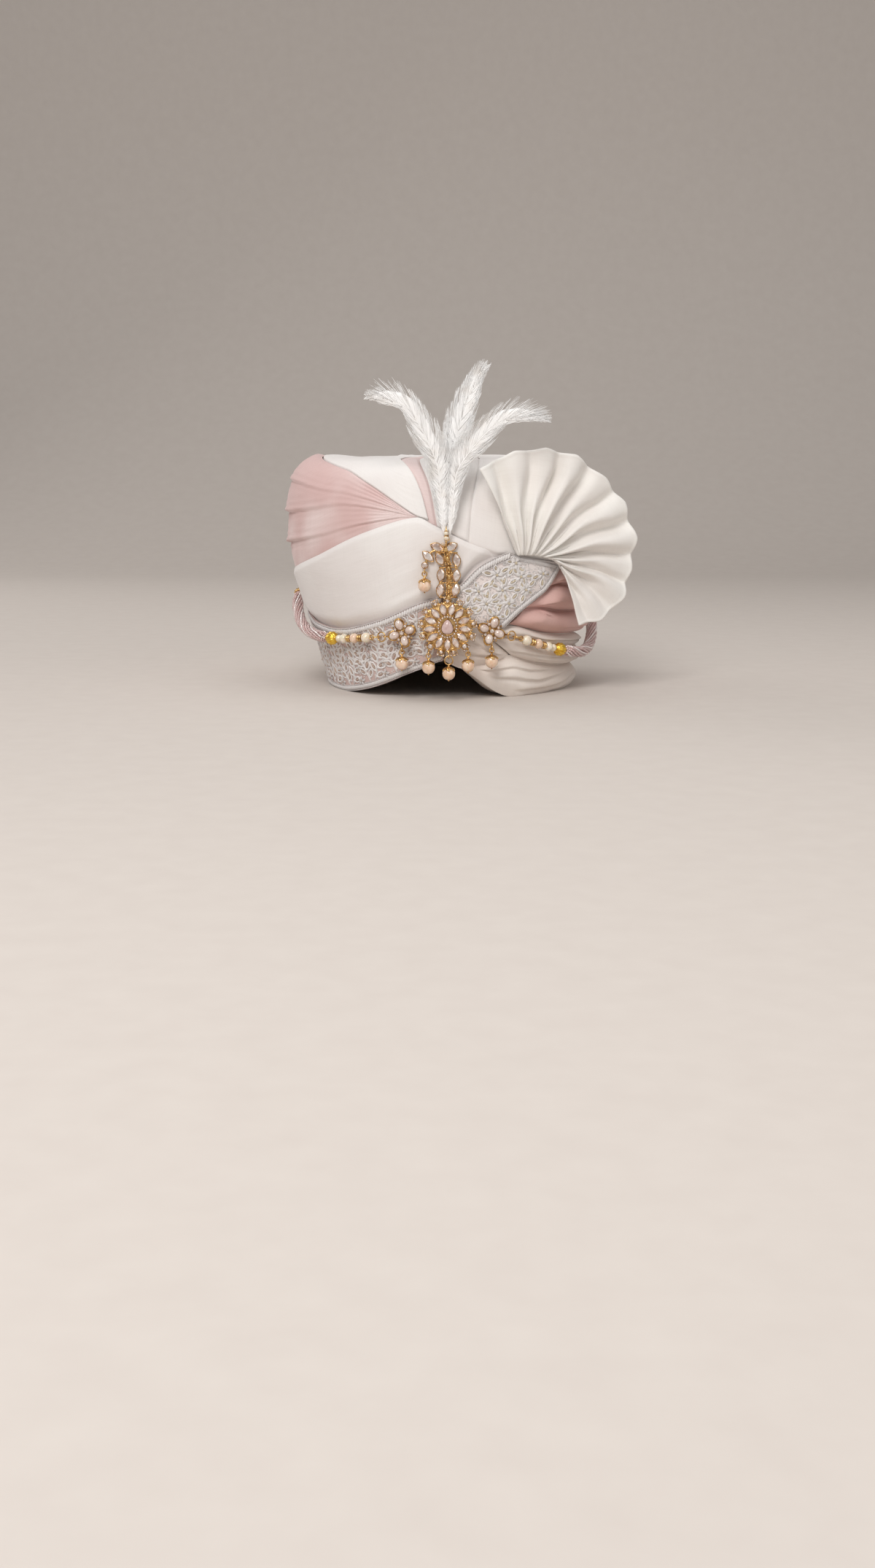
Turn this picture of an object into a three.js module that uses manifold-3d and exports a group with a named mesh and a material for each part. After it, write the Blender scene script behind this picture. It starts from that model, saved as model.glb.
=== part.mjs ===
// A tied wedding turban (pagri) in ivory and rose cloth, with an embroidered border, a pleated
// side fan, and a feathered brooch whose bead strings run round both sides to a tie at the back.
//
// Millimetres, +Z up, the rim resting on Z = 0 and the centre of the head opening at the origin.
// The wearer faces -Y. A place on the turban is given by its turn, in degrees about +Z from the
// front towards +X, by its rise, the distance up the cloth from the rim, and by its lift off the
// wound body.
import * as THREE from "three";
import { mergeVertices } from "three/addons/utils/BufferGeometryUtils.js";
import Module from "manifold-3d";

const wasm = await Module();
wasm.setup();

// Driving dimensions

const SEAT = 0.7; // gap between a cloth piece and the wound body under it
const WALL_SEAT = 1.3; // the same under the broad wraps of the wall
const TOP_SEAT = 1.6; // the same on the rounded shoulder of the crown
const SEAM = 0.7; // gap between two cloth pieces that lie side by side
const SHOULDER_EASE = 1.8; // the wound body is drawn in by this under the shoulder wraps
const TURN_STEPS = 32; // facets round the wound body
const BACK_SEAM = -258; // turn where the wraps that go round the back end, behind the fan
const POLE_RISE = 270; // rise where the wraps meet on top of the crown

const WHITE_LIFT = 5.5; // outer face of the broad white wrap
const PLEAT_LOW = 2.4; // lowest and highest face of the rose pleats
const PLEAT_HIGH = 4.8;
const PLEAT_COUNT = 4;
const SHOULDER_LIFT = 6; // extra fullness of the topmost pleats over the left shoulder
const TOP_LIFT = 3.1; // outer face of the flat wraps on the upper crown
const BORDER_LIFT = 4.2; // outer face of the embroidered border
const BRAID_LIFT = 5.4; // its corded edges
const STRIP_LIFT = 6.3; // outer face of the embroidered strip that crosses to the fan

const FAN_BASE = { x: 74, y: -103.5, z: 106 }; // where the fan leaves the crown
const FAN_YAW = 25; // the fan's face, turned from the front
const FAN_WALL = 2.2;
const FAN_WAVE = 5.5; // depth of the fan's pleats
const FAN_GATHER = { left: -23, right: 15, drop: 5, forward: 5 }; // line that the pleats are gathered on

const BROOCH = { x: 3.7, y: -127.6, z: 55 }; // centre of the brooch's flower, at its back face
const PETAL_COUNT = 13;
const PETAL_RING = 13; // radius to the middle of a petal
const RIM_RADIUS = 21.4; // radius to the points of the flower's scalloped rim
const WIRE = 0.55; // radius of the ring and loop wire
const PEARL = 4.8; // radius of a drop's pearl
const SWING_RING = 3; // radius of the centre drop's ring, to the middle of its wire
const SMALL_RING = 1.7; // radius of a small drop's ring and of every loop
const ROPE_RADIUS = 4.6; // the bundle of seed-bead strands
const TIE_RADIUS = 1.5; // the cord round the back

const DEG = Math.PI / 180;
const V = (x, y, z) => new THREE.Vector3(x, y, z);
const mix = THREE.MathUtils.lerp;

// Shape tables

// Plan sections of the wound body, from the rim up the wall and in over the top.
const CROWN = [
  { rise: 0, height: 0, left: 86, right: 95, front: 108, back: 113 },
  { rise: 22, height: 22, left: 92, right: 100, front: 113, back: 118 },
  { rise: 44, height: 43, left: 98, right: 104, front: 116.5, back: 122 },
  { rise: 75, height: 73, left: 107.5, right: 109, front: 119, back: 126 },
  { rise: 105, height: 102, left: 116, right: 114, front: 121, back: 129 },
  { rise: 133, height: 130, left: 117.5, right: 116, front: 120.5, back: 129 },
  { rise: 155, height: 150, left: 116, right: 112, front: 116, back: 124 },
  { rise: 173, height: 164, left: 110, right: 104, front: 108, back: 116 },
  { rise: 188, height: 171, left: 97, right: 91, front: 94, back: 101 },
  { rise: 214, height: 173.4, left: 67, right: 64, front: 67, back: 73 },
  { rise: 250, height: 174.4, left: 28, right: 28, front: 29, back: 32 },
  { rise: 276, height: 174.6, left: 0.6, right: 0.6, front: 0.6, back: 0.6 },
];

// Plan sections of the hollow that the head goes into.
const HOLLOW = [
  { rise: 0, height: 0, left: 78, right: 80, front: 98, back: 100 },
  { rise: 55, height: 55, left: 79, right: 80, front: 98, back: 101 },
  { rise: 90, height: 90, left: 74, right: 75, front: 93, back: 95 },
  { rise: 115, height: 112, left: 60, right: 61, front: 76, back: 78 },
  { rise: 140, height: 126, left: 38, right: 38, front: 48, back: 50 },
  { rise: 175, height: 133, left: 4, right: 4, front: 5, back: 5 },
];

// The rim lies flat at the sides and back, and is lifted in a peak over the brow.
const RIM = [
  { turn: -90, rise: 0 },
  { turn: -57, rise: 0 },
  { turn: -35, rise: 6.5 },
  { turn: -10, rise: 22.5 },
  { turn: 2, rise: 29.5 },
  { turn: 12, rise: 18.5 },
  { turn: 24, rise: 4.5 },
  { turn: 34, rise: 0 },
  { turn: 90, rise: 0 },
];

// Upper edge of the embroidered border, and past the front the strip's upper edge.
const BORDER_TOP = [
  { turn: -258, rise: 55 },
  { turn: -180, rise: 58 },
  { turn: -110, rise: 60 },
  { turn: -83, rise: 59 },
  { turn: -71, rise: 54 },
  { turn: -47, rise: 51.5 },
  { turn: -25, rise: 60.5 },
  { turn: -9, rise: 73.5 },
  { turn: 0, rise: 79.5 },
  { turn: 4, rise: 83.5 },
  { turn: 8, rise: 93 },
  { turn: 12, rise: 101.5 },
  { turn: 18, rise: 108 },
  { turn: 23, rise: 110.5 },
];

// Upper edge of the broad white wrap: a low peak at the front, falling to both sides.
const WHITE_TOP = [
  { turn: -258, rise: 98 },
  { turn: -180, rise: 96 },
  { turn: -110, rise: 92 },
  { turn: -84, rise: 94.5 },
  { turn: -53, rise: 106.5 },
  { turn: -27, rise: 126 },
  { turn: -9, rise: 136.5 },
  { turn: -3, rise: 131 },
  { turn: 5, rise: 122.5 },
  { turn: 12, rise: 116.5 },
  { turn: 21, rise: 110.6 },
];

// Crease where the rose pleats end under the white of the upper crown.
const PLEAT_TOP = [
  { turn: -258, rise: 168 },
  { turn: -180, rise: 184 },
  { turn: -120, rise: 191 },
  { turn: -86, rise: 192.5 },
  { turn: -41, rise: 175.5 },
  { turn: -27, rise: 161.5 },
  { turn: -17, rise: 148 },
  { turn: -9.5, rise: 137.6 },
  { turn: -5, rise: 134.4 },
];

// Edges of the wraps that go up the front and over the top, as turn against rise.
const STRIPE_LEFT = [
  { rise: 134, turn: -5 },
  { rise: 157, turn: -8 },
  { rise: 174, turn: -12 },
  { rise: 192, turn: -19 },
  { rise: 215, turn: -27 },
  { rise: 270, turn: -38 },
];
const STRIPE_RIGHT = [
  { rise: 130, turn: -2 },
  { rise: 162, turn: -5 },
  { rise: 188, turn: -10 },
  { rise: 215, turn: -13 },
  { rise: 270, turn: -15 },
];
const RIGHT_CREASE = [
  { rise: 118, turn: 9 },
  { rise: 142, turn: 10 },
  { rise: 161, turn: 12 },
  { rise: 188, turn: 17 },
  { rise: 215, turn: 25 },
  { rise: 270, turn: 40 },
];
const RIGHT_LOW = [
  { turn: 9, rise: 119.8 },
  { turn: 12, rise: 117.2 },
  { turn: 20, rise: 112 },
  { turn: 23, rise: 111.6 },
  { turn: 49, rise: 103.6 },
  { turn: 61, rise: 102.4 },
  { turn: 101, rise: 102.4 },
];

// Pieces laid slantwise: each row gives the place of the lower and of the upper edge.
const STRIP = [
  { at: 0, lowTurn: 24, lowRise: 55.6, topTurn: 1.3, topRise: 61 },
  { at: 0.2, lowTurn: 28, lowRise: 62, topTurn: 2.6, topRise: 80.6 },
  { at: 0.4, lowTurn: 32, lowRise: 68.5, topTurn: 7, topRise: 89.6 },
  { at: 0.6, lowTurn: 37.5, lowRise: 76, topTurn: 12, topRise: 100.4 },
  { at: 0.8, lowTurn: 43, lowRise: 84, topTurn: 18, topRise: 107 },
  { at: 1, lowTurn: 49, lowRise: 102, topTurn: 22.6, topRise: 109.6 },
];
const ROLL_FRONT = [
  { at: 0, lowTurn: 1.3, lowRise: 30, topTurn: 1.3, topRise: 59.6 },
  { at: 0.35, lowTurn: 8, lowRise: 24.6, topTurn: 8, topRise: 57.8 },
  { at: 0.6, lowTurn: 14, lowRise: 25.4, topTurn: 13.6, topRise: 56 },
  { at: 0.8, lowTurn: 20, lowRise: 27, topTurn: 17.9, topRise: 47.4 },
  { at: 1, lowTurn: 27, lowRise: 31.4, topTurn: 27, topRise: 33.4 },
];
const ROLL_BOTTOM_TOP = [
  { turn: 10, rise: 22.6 },
  { turn: 14, rise: 24.4 },
  { turn: 20, rise: 25.8 },
  { turn: 29, rise: 30.6 },
  { turn: 36, rise: 26.9 },
  { turn: 48, rise: 21.9 },
  { turn: 68, rise: 17.9 },
  { turn: 101, rise: 15.6 },
];
const FOLD_LOWER = [
  { at: 0, lowTurn: 29.4, lowRise: 32.4, topTurn: 19.6, topRise: 46 },
  { at: 0.2, lowTurn: 36, lowRise: 28, topTurn: 31, topRise: 44.8 },
  { at: 0.45, lowTurn: 48, lowRise: 23, topTurn: 46, topRise: 37 },
  { at: 0.7, lowTurn: 68, lowRise: 19, topTurn: 68, topRise: 31.4 },
  { at: 1, lowTurn: 101, lowRise: 16.6, topTurn: 101, topRise: 33 },
];
const FOLD_UPPER = [
  { at: 0, lowTurn: 19.2, lowRise: 47.6, topTurn: 15.4, topRise: 55.8 },
  { at: 0.15, lowTurn: 26, lowRise: 47.2, topTurn: 24.6, topRise: 54.2 },
  { at: 0.3, lowTurn: 34, lowRise: 44.8, topTurn: 31, topRise: 54 },
  { at: 0.5, lowTurn: 46, lowRise: 38.4, topTurn: 46, topRise: 47.2 },
  { at: 0.75, lowTurn: 70, lowRise: 32.4, topTurn: 72, topRise: 42.6 },
  { at: 1, lowTurn: 101, lowRise: 34, topTurn: 101, topRise: 39.6 },
];
const ROSE_FOLD_LOWER = [
  { at: 0, lowTurn: 28, lowRise: 57, topTurn: 33.2, topRise: 67 },
  { at: 0.25, lowTurn: 36, lowRise: 53.4, topTurn: 42, topRise: 66.6 },
  { at: 0.5, lowTurn: 50, lowRise: 47.6, topTurn: 52, topRise: 63.4 },
  { at: 0.75, lowTurn: 72, lowRise: 44, topTurn: 72, topRise: 61 },
  { at: 1, lowTurn: 101, lowRise: 40.8, topTurn: 101, topRise: 60 },
];
const ROSE_FOLD_MIDDLE = [
  { at: 0, lowTurn: 34.2, lowRise: 68.8, topTurn: 42.8, topRise: 80.4 },
  { at: 0.25, lowTurn: 43, lowRise: 67.8, topTurn: 49, topRise: 84.4 },
  { at: 0.5, lowTurn: 53, lowRise: 64.6, topTurn: 58, topRise: 83 },
  { at: 0.75, lowTurn: 73, lowRise: 62.2, topTurn: 73, topRise: 80.5 },
  { at: 1, lowTurn: 101, lowRise: 61.2, topTurn: 101, topRise: 79 },
];
const ROSE_FOLD_UPPER = [
  { at: 0, lowTurn: 43.8, lowRise: 82.6, topTurn: 49.6, topRise: 96 },
  { at: 0.25, lowTurn: 50, lowRise: 85.8, topTurn: 53, topRise: 100.2 },
  { at: 0.5, lowTurn: 59, lowRise: 84.4, topTurn: 61, topRise: 101 },
  { at: 0.75, lowTurn: 74, lowRise: 81.8, topTurn: 75, topRise: 101.4 },
  { at: 1, lowTurn: 101, lowRise: 80.2, topTurn: 101, topRise: 101.4 },
];

// Ridges of the side fan, clockwise from its left edge: angle from upright, and reach.
const FAN_RIDGES = [
  { angle: -42, reach: 84 },
  { angle: -20.5, reach: 80 },
  { angle: -2.5, reach: 77.5 },
  { angle: 17.5, reach: 76 },
  { angle: 41, reach: 74.5 },
  { angle: 59, reach: 76 },
  { angle: 81.5, reach: 77.5 },
  { angle: 99, reach: 74.5 },
  { angle: 115, reach: 75 },
  { angle: 137, reach: 68.5 },
  { angle: 152, reach: 60 },
];

// Bead routes from the brooch's side flowers to the end caps, both over the cloth.
const LEFT_ROUTE = [
  { turn: -33, rise: 47.5, lift: 10 },
  { turn: -44, rise: 46, lift: 10.6 },
  { turn: -55, rise: 46, lift: 11.4 },
  { turn: -70, rise: 49, lift: 11.8 },
  { turn: -84, rise: 56, lift: 12 },
  { turn: -94, rise: 65, lift: 12.5 },
  { turn: -102, rise: 73, lift: 12.5 },
];
const RIGHT_ROUTE = [
  { turn: 37, rise: 43, lift: 13 },
  { turn: 47, rise: 38, lift: 14 },
  { turn: 57, rise: 34, lift: 14.5 },
  { turn: 69, rise: 32, lift: 15.5 },
  { turn: 82, rise: 36, lift: 16 },
  { turn: 94, rise: 49, lift: 16 },
  { turn: 103, rise: 62, lift: 14.5 },
];
const BACK_ROUTE = [
  { turn: -107, rise: 78.5, lift: 10.6 },
  { turn: -116, rise: 80, lift: 8.8 },
  { turn: -140, rise: 80, lift: 8.2 },
  { turn: -180, rise: 80, lift: 8.2 },
  { turn: -220, rise: 80, lift: 8.4 },
  { turn: -240, rise: 77, lift: 9.4 },
  { turn: -252, rise: 70.5, lift: 12.4 },
];

// Beads of a string in order from the brooch: half-length along the string, and radius.
const BEADS = [
  { half: 4, radius: 3.9 },
  { half: 2, radius: 2.6 },
  { half: 3.6, radius: 3.7 },
  { half: 2, radius: 2.6 },
  { half: 3.4, radius: 3.6 },
  { half: 2.6, radius: 2.8 },
  { half: 6.2, radius: 5.2 },
];

// Marquise stones of the brooch's crest, from the flower's centre: place, and lean to the left.
const CREST_STONES = [
  { x: -5.1, y: 26.9, lean: -8 },
  { x: -4.6, y: 37.8, lean: -6 },
  { x: -5.6, y: 49.2, lean: 28 },
  { x: -7.4, y: 57.6, lean: 68 },
  { x: -14, y: 51, lean: 48 },
  { x: 5.7, y: 26.9, lean: -14 },
  { x: 6.4, y: 37.2, lean: -6 },
  { x: 6.5, y: 48.3, lean: 8 },
  { x: 2.4, y: 57.6, lean: -62 },
];

// Feather ribs, from the flower's centre: x to the right, y up, z forward, and half-width of vane.
const FEATHERS = {
  left: [
    { x: -2.4, y: 66, z: 3, half: 2 },
    { x: -4.8, y: 96, z: 4, half: 6.5 },
    { x: -8.5, y: 119, z: 5, half: 8.5 },
    { x: -24.5, y: 150.5, z: 8, half: 8.5 },
    { x: -43, y: 161.5, z: 10, half: 6 },
    { x: -58.6, y: 163.6, z: 12, half: 1.3 },
  ],
  middle: [
    { x: -0.4, y: 66, z: 1, half: 2 },
    { x: 1, y: 104.5, z: 0, half: 6 },
    { x: 4.8, y: 130.5, z: -1.5, half: 8 },
    { x: 10.5, y: 150.5, z: -3, half: 8.5 },
    { x: 18, y: 170.5, z: -5, half: 7 },
    { x: 29.5, y: 188, z: -8, half: 1.6 },
  ],
  right: [
    { x: 1.6, y: 66, z: 3, half: 2 },
    { x: 4.8, y: 100, z: 4, half: 6 },
    { x: 10.5, y: 118, z: 5, half: 8 },
    { x: 32.3, y: 142.5, z: 8, half: 8 },
    { x: 53, y: 149.5, z: 10, half: 6 },
    { x: 73, y: 147.5, z: 11, half: 1.3 },
  ],
};

// Tables and places

// One column of a table, on a smooth curve through its rows. The place is clamped to the table.
function read(table, key, column, at) {
  const last = table.length - 1;
  const place = THREE.MathUtils.clamp(at, table[0][key], table[last][key]);
  let i = 0;
  while (i < last - 1 && table[i + 1][key] < place) i++;
  const slope = (k) => {
    const a = table[Math.max(k - 1, 0)];
    const b = table[Math.min(k + 1, last)];
    return (b[column] - a[column]) / (b[key] - a[key]);
  };
  const width = table[i + 1][key] - table[i][key];
  const t = (place - table[i][key]) / width;
  const t2 = t * t;
  const t3 = t2 * t;
  return (
    (2 * t3 - 3 * t2 + 1) * table[i][column] +
    (t3 - 2 * t2 + t) * width * slope(i) +
    (3 * t2 - 2 * t3) * table[i + 1][column] +
    (t3 - t2) * width * slope(i + 1)
  );
}

const rimRise = (turn) => Math.max(0, read(RIM, "turn", "rise", Math.abs(turn) > 90 ? 90 : turn));
const borderTop = (turn) => read(BORDER_TOP, "turn", "rise", turn);
const whiteTop = (turn) => read(WHITE_TOP, "turn", "rise", turn);
const pleatTop = (turn) => read(PLEAT_TOP, "turn", "rise", turn);

// A point of a sectioned form: each quarter of a section is a quarter of an ellipse.
function sectionPoint(sections, turn, rise) {
  const s = Math.sin(turn * DEG);
  const c = Math.cos(turn * DEG);
  const side = read(sections, "rise", s < 0 ? "left" : "right", rise);
  const depth = read(sections, "rise", c > 0 ? "front" : "back", rise);
  return V(side * s, -depth * c, read(sections, "rise", "height", rise));
}

// The turn that a distance along the cloth takes up, at a given rise.
const turnOf = (distance, rise) => distance / read(CROWN, "rise", "front", rise) / DEG;

// A point that stands off the wound body by lift, along the body's normal.
function onCrown(turn, rise, lift) {
  const step = 0.5;
  const along = sectionPoint(CROWN, turn + step, rise).sub(sectionPoint(CROWN, turn - step, rise));
  const up = sectionPoint(CROWN, turn, rise + step).sub(sectionPoint(CROWN, turn, rise - step));
  const normal = along.cross(up).normalize();
  return sectionPoint(CROWN, turn, rise).addScaledVector(normal, lift);
}

// Points along a route given by rows of turn, rise and lift.
function routePoints(rows) {
  const steps = rows.map((row, at) => ({ at, ...row }));
  const count = 24;
  return Array.from({ length: count + 1 }, (_, k) => {
    const at = ((rows.length - 1) * k) / count;
    return onCrown(...["turn", "rise", "lift"].map((column) => read(steps, "at", column, at)));
  });
}

// Solids

function geometryOf(points, faces) {
  const geometry = new THREE.BufferGeometry().setFromPoints(points);
  return geometry.setIndex(faces.flat());
}

// A closed wall between an outer and an inner sheet, both grids of long by wide cells.
function wall(long, wide, outer, inner) {
  const points = [];
  const faces = [];
  for (const sheet of [outer, inner])
    for (let i = 0; i <= long; i++)
      for (let j = 0; j <= wide; j++) points.push(sheet(i / long, j / wide));
  const id = (side, i, j) => side * (long + 1) * (wide + 1) + i * (wide + 1) + j;
  const quad = (a, b, c, d) => faces.push([a, b, c], [a, c, d]);
  for (let i = 0; i < long; i++) {
    for (let j = 0; j < wide; j++) {
      quad(id(0, i, j), id(0, i + 1, j), id(0, i + 1, j + 1), id(0, i, j + 1));
      quad(id(1, i, j), id(1, i, j + 1), id(1, i + 1, j + 1), id(1, i + 1, j));
    }
    quad(id(1, i, 0), id(1, i + 1, 0), id(0, i + 1, 0), id(0, i, 0));
    quad(id(0, i, wide), id(0, i + 1, wide), id(1, i + 1, wide), id(1, i, wide));
  }
  for (let j = 0; j < wide; j++) {
    quad(id(0, 0, j), id(0, 0, j + 1), id(1, 0, j + 1), id(1, 0, j));
    quad(id(1, long, j), id(1, long, j + 1), id(0, long, j + 1), id(0, long, j));
  }
  return geometryOf(points, faces);
}

// Cloth on the crown: place gives turn and rise over the piece, and lift its outer face.
function clothOnCrown(long, wide, place, lift, under = () => SEAT) {
  const sheet = (height) => (u, v) => {
    const point = onCrown(...place(u, v), height(u, v));
    return point.setZ(Math.max(0, point.z));
  };
  return wall(long, wide, sheet(lift), sheet(under));
}

// The place function of a piece laid slantwise between the two edges of a table.
function slantwise(table) {
  return (u, v) => [
    mix(read(table, "at", "lowTurn", u), read(table, "at", "topTurn", u), v),
    mix(read(table, "at", "lowRise", u), read(table, "at", "topRise", u), v),
  ];
}

// Outer face of a soft roll: thin at its edges, round across, and drawn in towards its ends.
function rollLift(edge, crown, startShare) {
  return (u, v) => {
    const ends = mix(startShare, 1, Math.min(1, u * 4)) * mix(0.6, 1, Math.min(1, (1 - u) * 5));
    return edge + (crown - edge) * Math.pow(Math.sin(Math.PI * v), 0.7) * ends;
  };
}

const solidOf = (geometry) => {
  const bare = geometry.clone();
  for (const name of ["normal", "uv"]) bare.deleteAttribute(name);
  const merged = mergeVertices(bare, 1e-4);
  const corners = Array.from(merged.index.array);
  const triVerts = new Uint32Array(
    corners.filter((_, k) => {
      const [a, b, c] = corners.slice(k - (k % 3), k - (k % 3) + 3);
      return a !== b && b !== c && c !== a;
    }),
  );
  const vertProperties = new Float32Array(merged.attributes.position.array);
  return new wasm.Manifold(new wasm.Mesh({ numProp: 3, vertProperties, triVerts }));
};

function geometryFrom(solid) {
  const mesh = solid.getMesh();
  const geometry = new THREE.BufferGeometry();
  geometry.setAttribute("position", new THREE.BufferAttribute(new Float32Array(mesh.vertProperties), 3));
  return geometry.setIndex(new THREE.BufferAttribute(new Uint32Array(mesh.triVerts), 1));
}

const fuse = (parts) =>
  geometryFrom(parts.map(solidOf).reduce((whole, part) => whole.add(part)).simplify(0.03));

// A closed tube along a curve, of 8 sides, tapered by radius along its length.
function tube(curve, steps, radius, sides = 8) {
  const section = new THREE.Shape();
  for (let k = 0; k < sides; k++) {
    const angle = (2 * Math.PI * k) / sides;
    section[k ? "lineTo" : "moveTo"](radius * Math.cos(angle), radius * Math.sin(angle));
  }
  return new THREE.ExtrudeGeometry(section, { steps, extrudePath: curve });
}

// A turned piece about its own +Y axis, from a list of [radius, height] up its profile.
const turned = (profile, sides = 10) =>
  new THREE.LatheGeometry(profile.map(([r, y]) => new THREE.Vector2(r, y)), sides);

// A set stone lying in the XY plane: a straight setting, then eight facets up to the table.
function setStone(outline, depth, facet) {
  const levels = [{ scale: 1, z: 0 }, { scale: 1, z: depth }, { scale: 0.58, z: depth + facet }];
  if (!depth) levels.shift();
  const points = levels.flatMap(({ scale, z }) => outline.map(([x, y]) => V(scale * x, scale * y, z)));
  const faces = [];
  const n = outline.length;
  for (let k = 0; k < n; k++) {
    const next = (k + 1) % n;
    const top = (levels.length - 1) * n;
    for (let low = 0; low < top; low += n)
      faces.push([low + k, low + next, low + n + next], [low + k, low + n + next, low + n + k]);
    if (k > 0 && k < n - 1) faces.push([0, k + 1, k], [top, top + k, top + k + 1]);
  }
  return geometryOf(points, faces);
}

// Eight-sided outlines of the stones: round or oval, pointed at both ends, and pear-shaped.
const oval = (halfLength, halfWidth) =>
  Array.from({ length: 8 }, (_, k) => {
    const angle = ((k + 0.5) * Math.PI) / 4;
    return [halfWidth * Math.cos(angle), halfLength * Math.sin(angle)];
  });
const marquise = (halfLength, halfWidth) =>
  Array.from({ length: 8 }, (_, k) => {
    const pointed = k % 2 ? 0.78 : 1;
    return [halfWidth * pointed * Math.cos((k * Math.PI) / 4), halfLength * pointed * Math.sin((k * Math.PI) / 4)];
  }).map(([x, y]) => [Math.abs(x) < 1e-9 ? 0 : x * (Math.abs(y) < 1e-9 ? 1 : 1.24), y]);
const pear = (halfLength, halfWidth) =>
  oval(halfLength, halfWidth).map(([x, y]) => [x * (1 - (0.35 * y) / halfLength), y]);

const ring = (radius) => new THREE.TorusGeometry(radius, WIRE, 5, 10);

// Cloth

// The wound cloth of the crown: one thick shell, open below for the head.
function woundBody() {
  const rows = [];
  for (const rise of [268, 236, 210, 191, 177, 160, 136, 106, 70, 36])
    rows.push((turn) => onCrown(turn, Math.max(rise, rimRise(turn) + 1), rise > 140 ? -SHOULDER_EASE : 0));
  rows.push((turn) => sectionPoint(CROWN, turn, rimRise(turn)));
  for (const rise of [0, 45, 85, 112, 145])
    rows.push((turn) => sectionPoint(HOLLOW, turn, Math.max(rise, rimRise(turn))));
  const points = [sectionPoint(CROWN, 0, 276).setX(0).setY(0)];
  const faces = [];
  const turns = Array.from({ length: TURN_STEPS }, (_, k) => (360 * k) / TURN_STEPS - 180);
  for (const row of rows) for (const turn of turns) points.push(row(turn));
  points.push(sectionPoint(HOLLOW, 0, 175).setX(0).setY(0));
  const id = (r, k) => 1 + r * TURN_STEPS + (k % TURN_STEPS);
  for (let k = 0; k < TURN_STEPS; k++) {
    faces.push([0, id(0, k), id(0, k + 1)]);
    for (let r = 0; r < rows.length - 1; r++)
      faces.push([id(r, k), id(r + 1, k), id(r + 1, k + 1)], [id(r, k), id(r + 1, k + 1), id(r, k + 1)]);
    faces.push([id(rows.length - 1, k), points.length - 1, id(rows.length - 1, k + 1)]);
  }
  return geometryOf(points, faces);
}

// The embroidered border along the rim, corded at both edges.
function borderBand() {
  const place = (u, v) => {
    const turn = mix(BACK_SEAM, 0.4, u);
    return [turn, mix(rimRise(turn), borderTop(turn), v)];
  };
  return clothOnCrown(28, 3, place, (u, v) => (v < 0.1 || v > 0.9 ? BRAID_LIFT : BORDER_LIFT));
}

// The broad white wrap, from behind the fan round the back and left to the strip.
function whiteWrap() {
  const place = (u, v) => {
    const turn = mix(BACK_SEAM, 20.5, u);
    return [turn, mix(borderTop(turn) + SEAM, whiteTop(turn), v)];
  };
  const lift = (u, v) => mix(2.2, WHITE_LIFT, Math.min(1, 3 * Math.sqrt(v * (1.12 - v))));
  return clothOnCrown(32, 3, place, lift, () => WALL_SEAT);
}

// Rose pleats fanning out from the front, each lapping down over the next.
function rosePleats() {
  const rows = [];
  for (let k = 0; k < PLEAT_COUNT; k++) for (const share of k > 1 ? [0.04, 0.5, 0.96] : [0.04, 0.96]) rows.push(k + share);
  rows[0] = 0;
  rows[rows.length - 1] = PLEAT_COUNT;
  const wide = rows.length - 1;
  const across = (v) => rows[Math.round(v * wide)] / PLEAT_COUNT;
  const place = (u, v) => {
    const turn = mix(BACK_SEAM, -9.6, u);
    return [turn, mix(whiteTop(turn) + SEAM, pleatTop(turn), across(v))];
  };
  const lift = (u, v) => {
    const lap = 1 - (Math.min(rows[Math.round(v * wide)], PLEAT_COUNT - 0.01) % 1);
    const turn = mix(BACK_SEAM, -9.6, u);
    const shoulder = Math.exp(-Math.pow((turn + 88) / 30, 2)) * Math.pow(across(v), 4);
    return mix(PLEAT_LOW, PLEAT_HIGH, lap * Math.min(1, (1 - u) * 6)) + SHOULDER_LIFT * shoulder;
  };
  return clothOnCrown(24, wide, place, lift, () => WALL_SEAT);
}

// White cloth of the upper crown, between the rose pleats and the rose stripe.
function whiteTopWrap() {
  const place = (u, v) => {
    const toFront = 1 - Math.pow(1 - u, 1.3);
    let rise = mix(160, POLE_RISE, Math.pow(v, 1.3));
    let turn = 0;
    for (let pass = 0; pass < 4; pass++) {
      turn = mix(BACK_SEAM, read(STRIPE_LEFT, "rise", "turn", rise) - turnOf(1.2, rise), toFront);
      rise = mix(pleatTop(turn) + SEAM, POLE_RISE, Math.pow(v, 1.3));
    }
    return [turn, rise];
  };
  return clothOnCrown(22, 6, place, () => TOP_LIFT, () => TOP_SEAT);
}

// A wrap that goes up the front between two edges and narrows to the middle of the top.
function risingWrap(leftEdge, rightEdge, low, long, wide, lift) {
  const place = (u, v) => {
    const edge = (table, at) => read(table, "rise", "turn", at);
    const rise = mix(low(mix(edge(leftEdge, 130), edge(rightEdge, 130), u)), POLE_RISE, v);
    return [mix(edge(leftEdge, rise) + turnOf(0.5, rise), edge(rightEdge, rise) - turnOf(0.5, rise), u), rise];
  };
  return clothOnCrown(wide, long, place, () => lift, () => TOP_SEAT);
}

// The embroidered strip that crosses the front up to the fan.
const crossStrip = () =>
  clothOnCrown(8, 4, slantwise(STRIP), (u, v) => (v < 0.1 || v > 0.9 ? STRIP_LIFT + 0.8 : STRIP_LIFT));

// The white roll that the right side of the rim rests on.
function bottomRoll() {
  const place = (u, v) => {
    const turn = mix(10, 101, u);
    return [turn, mix(rimRise(turn), read(ROLL_BOTTOM_TOP, "turn", "rise", turn), v)];
  };
  const round = rollLift(2, 10, 0.2);
  return clothOnCrown(15, 4, place, (u, v) => round(u, mix(0.14, 1, v)));
}

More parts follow.
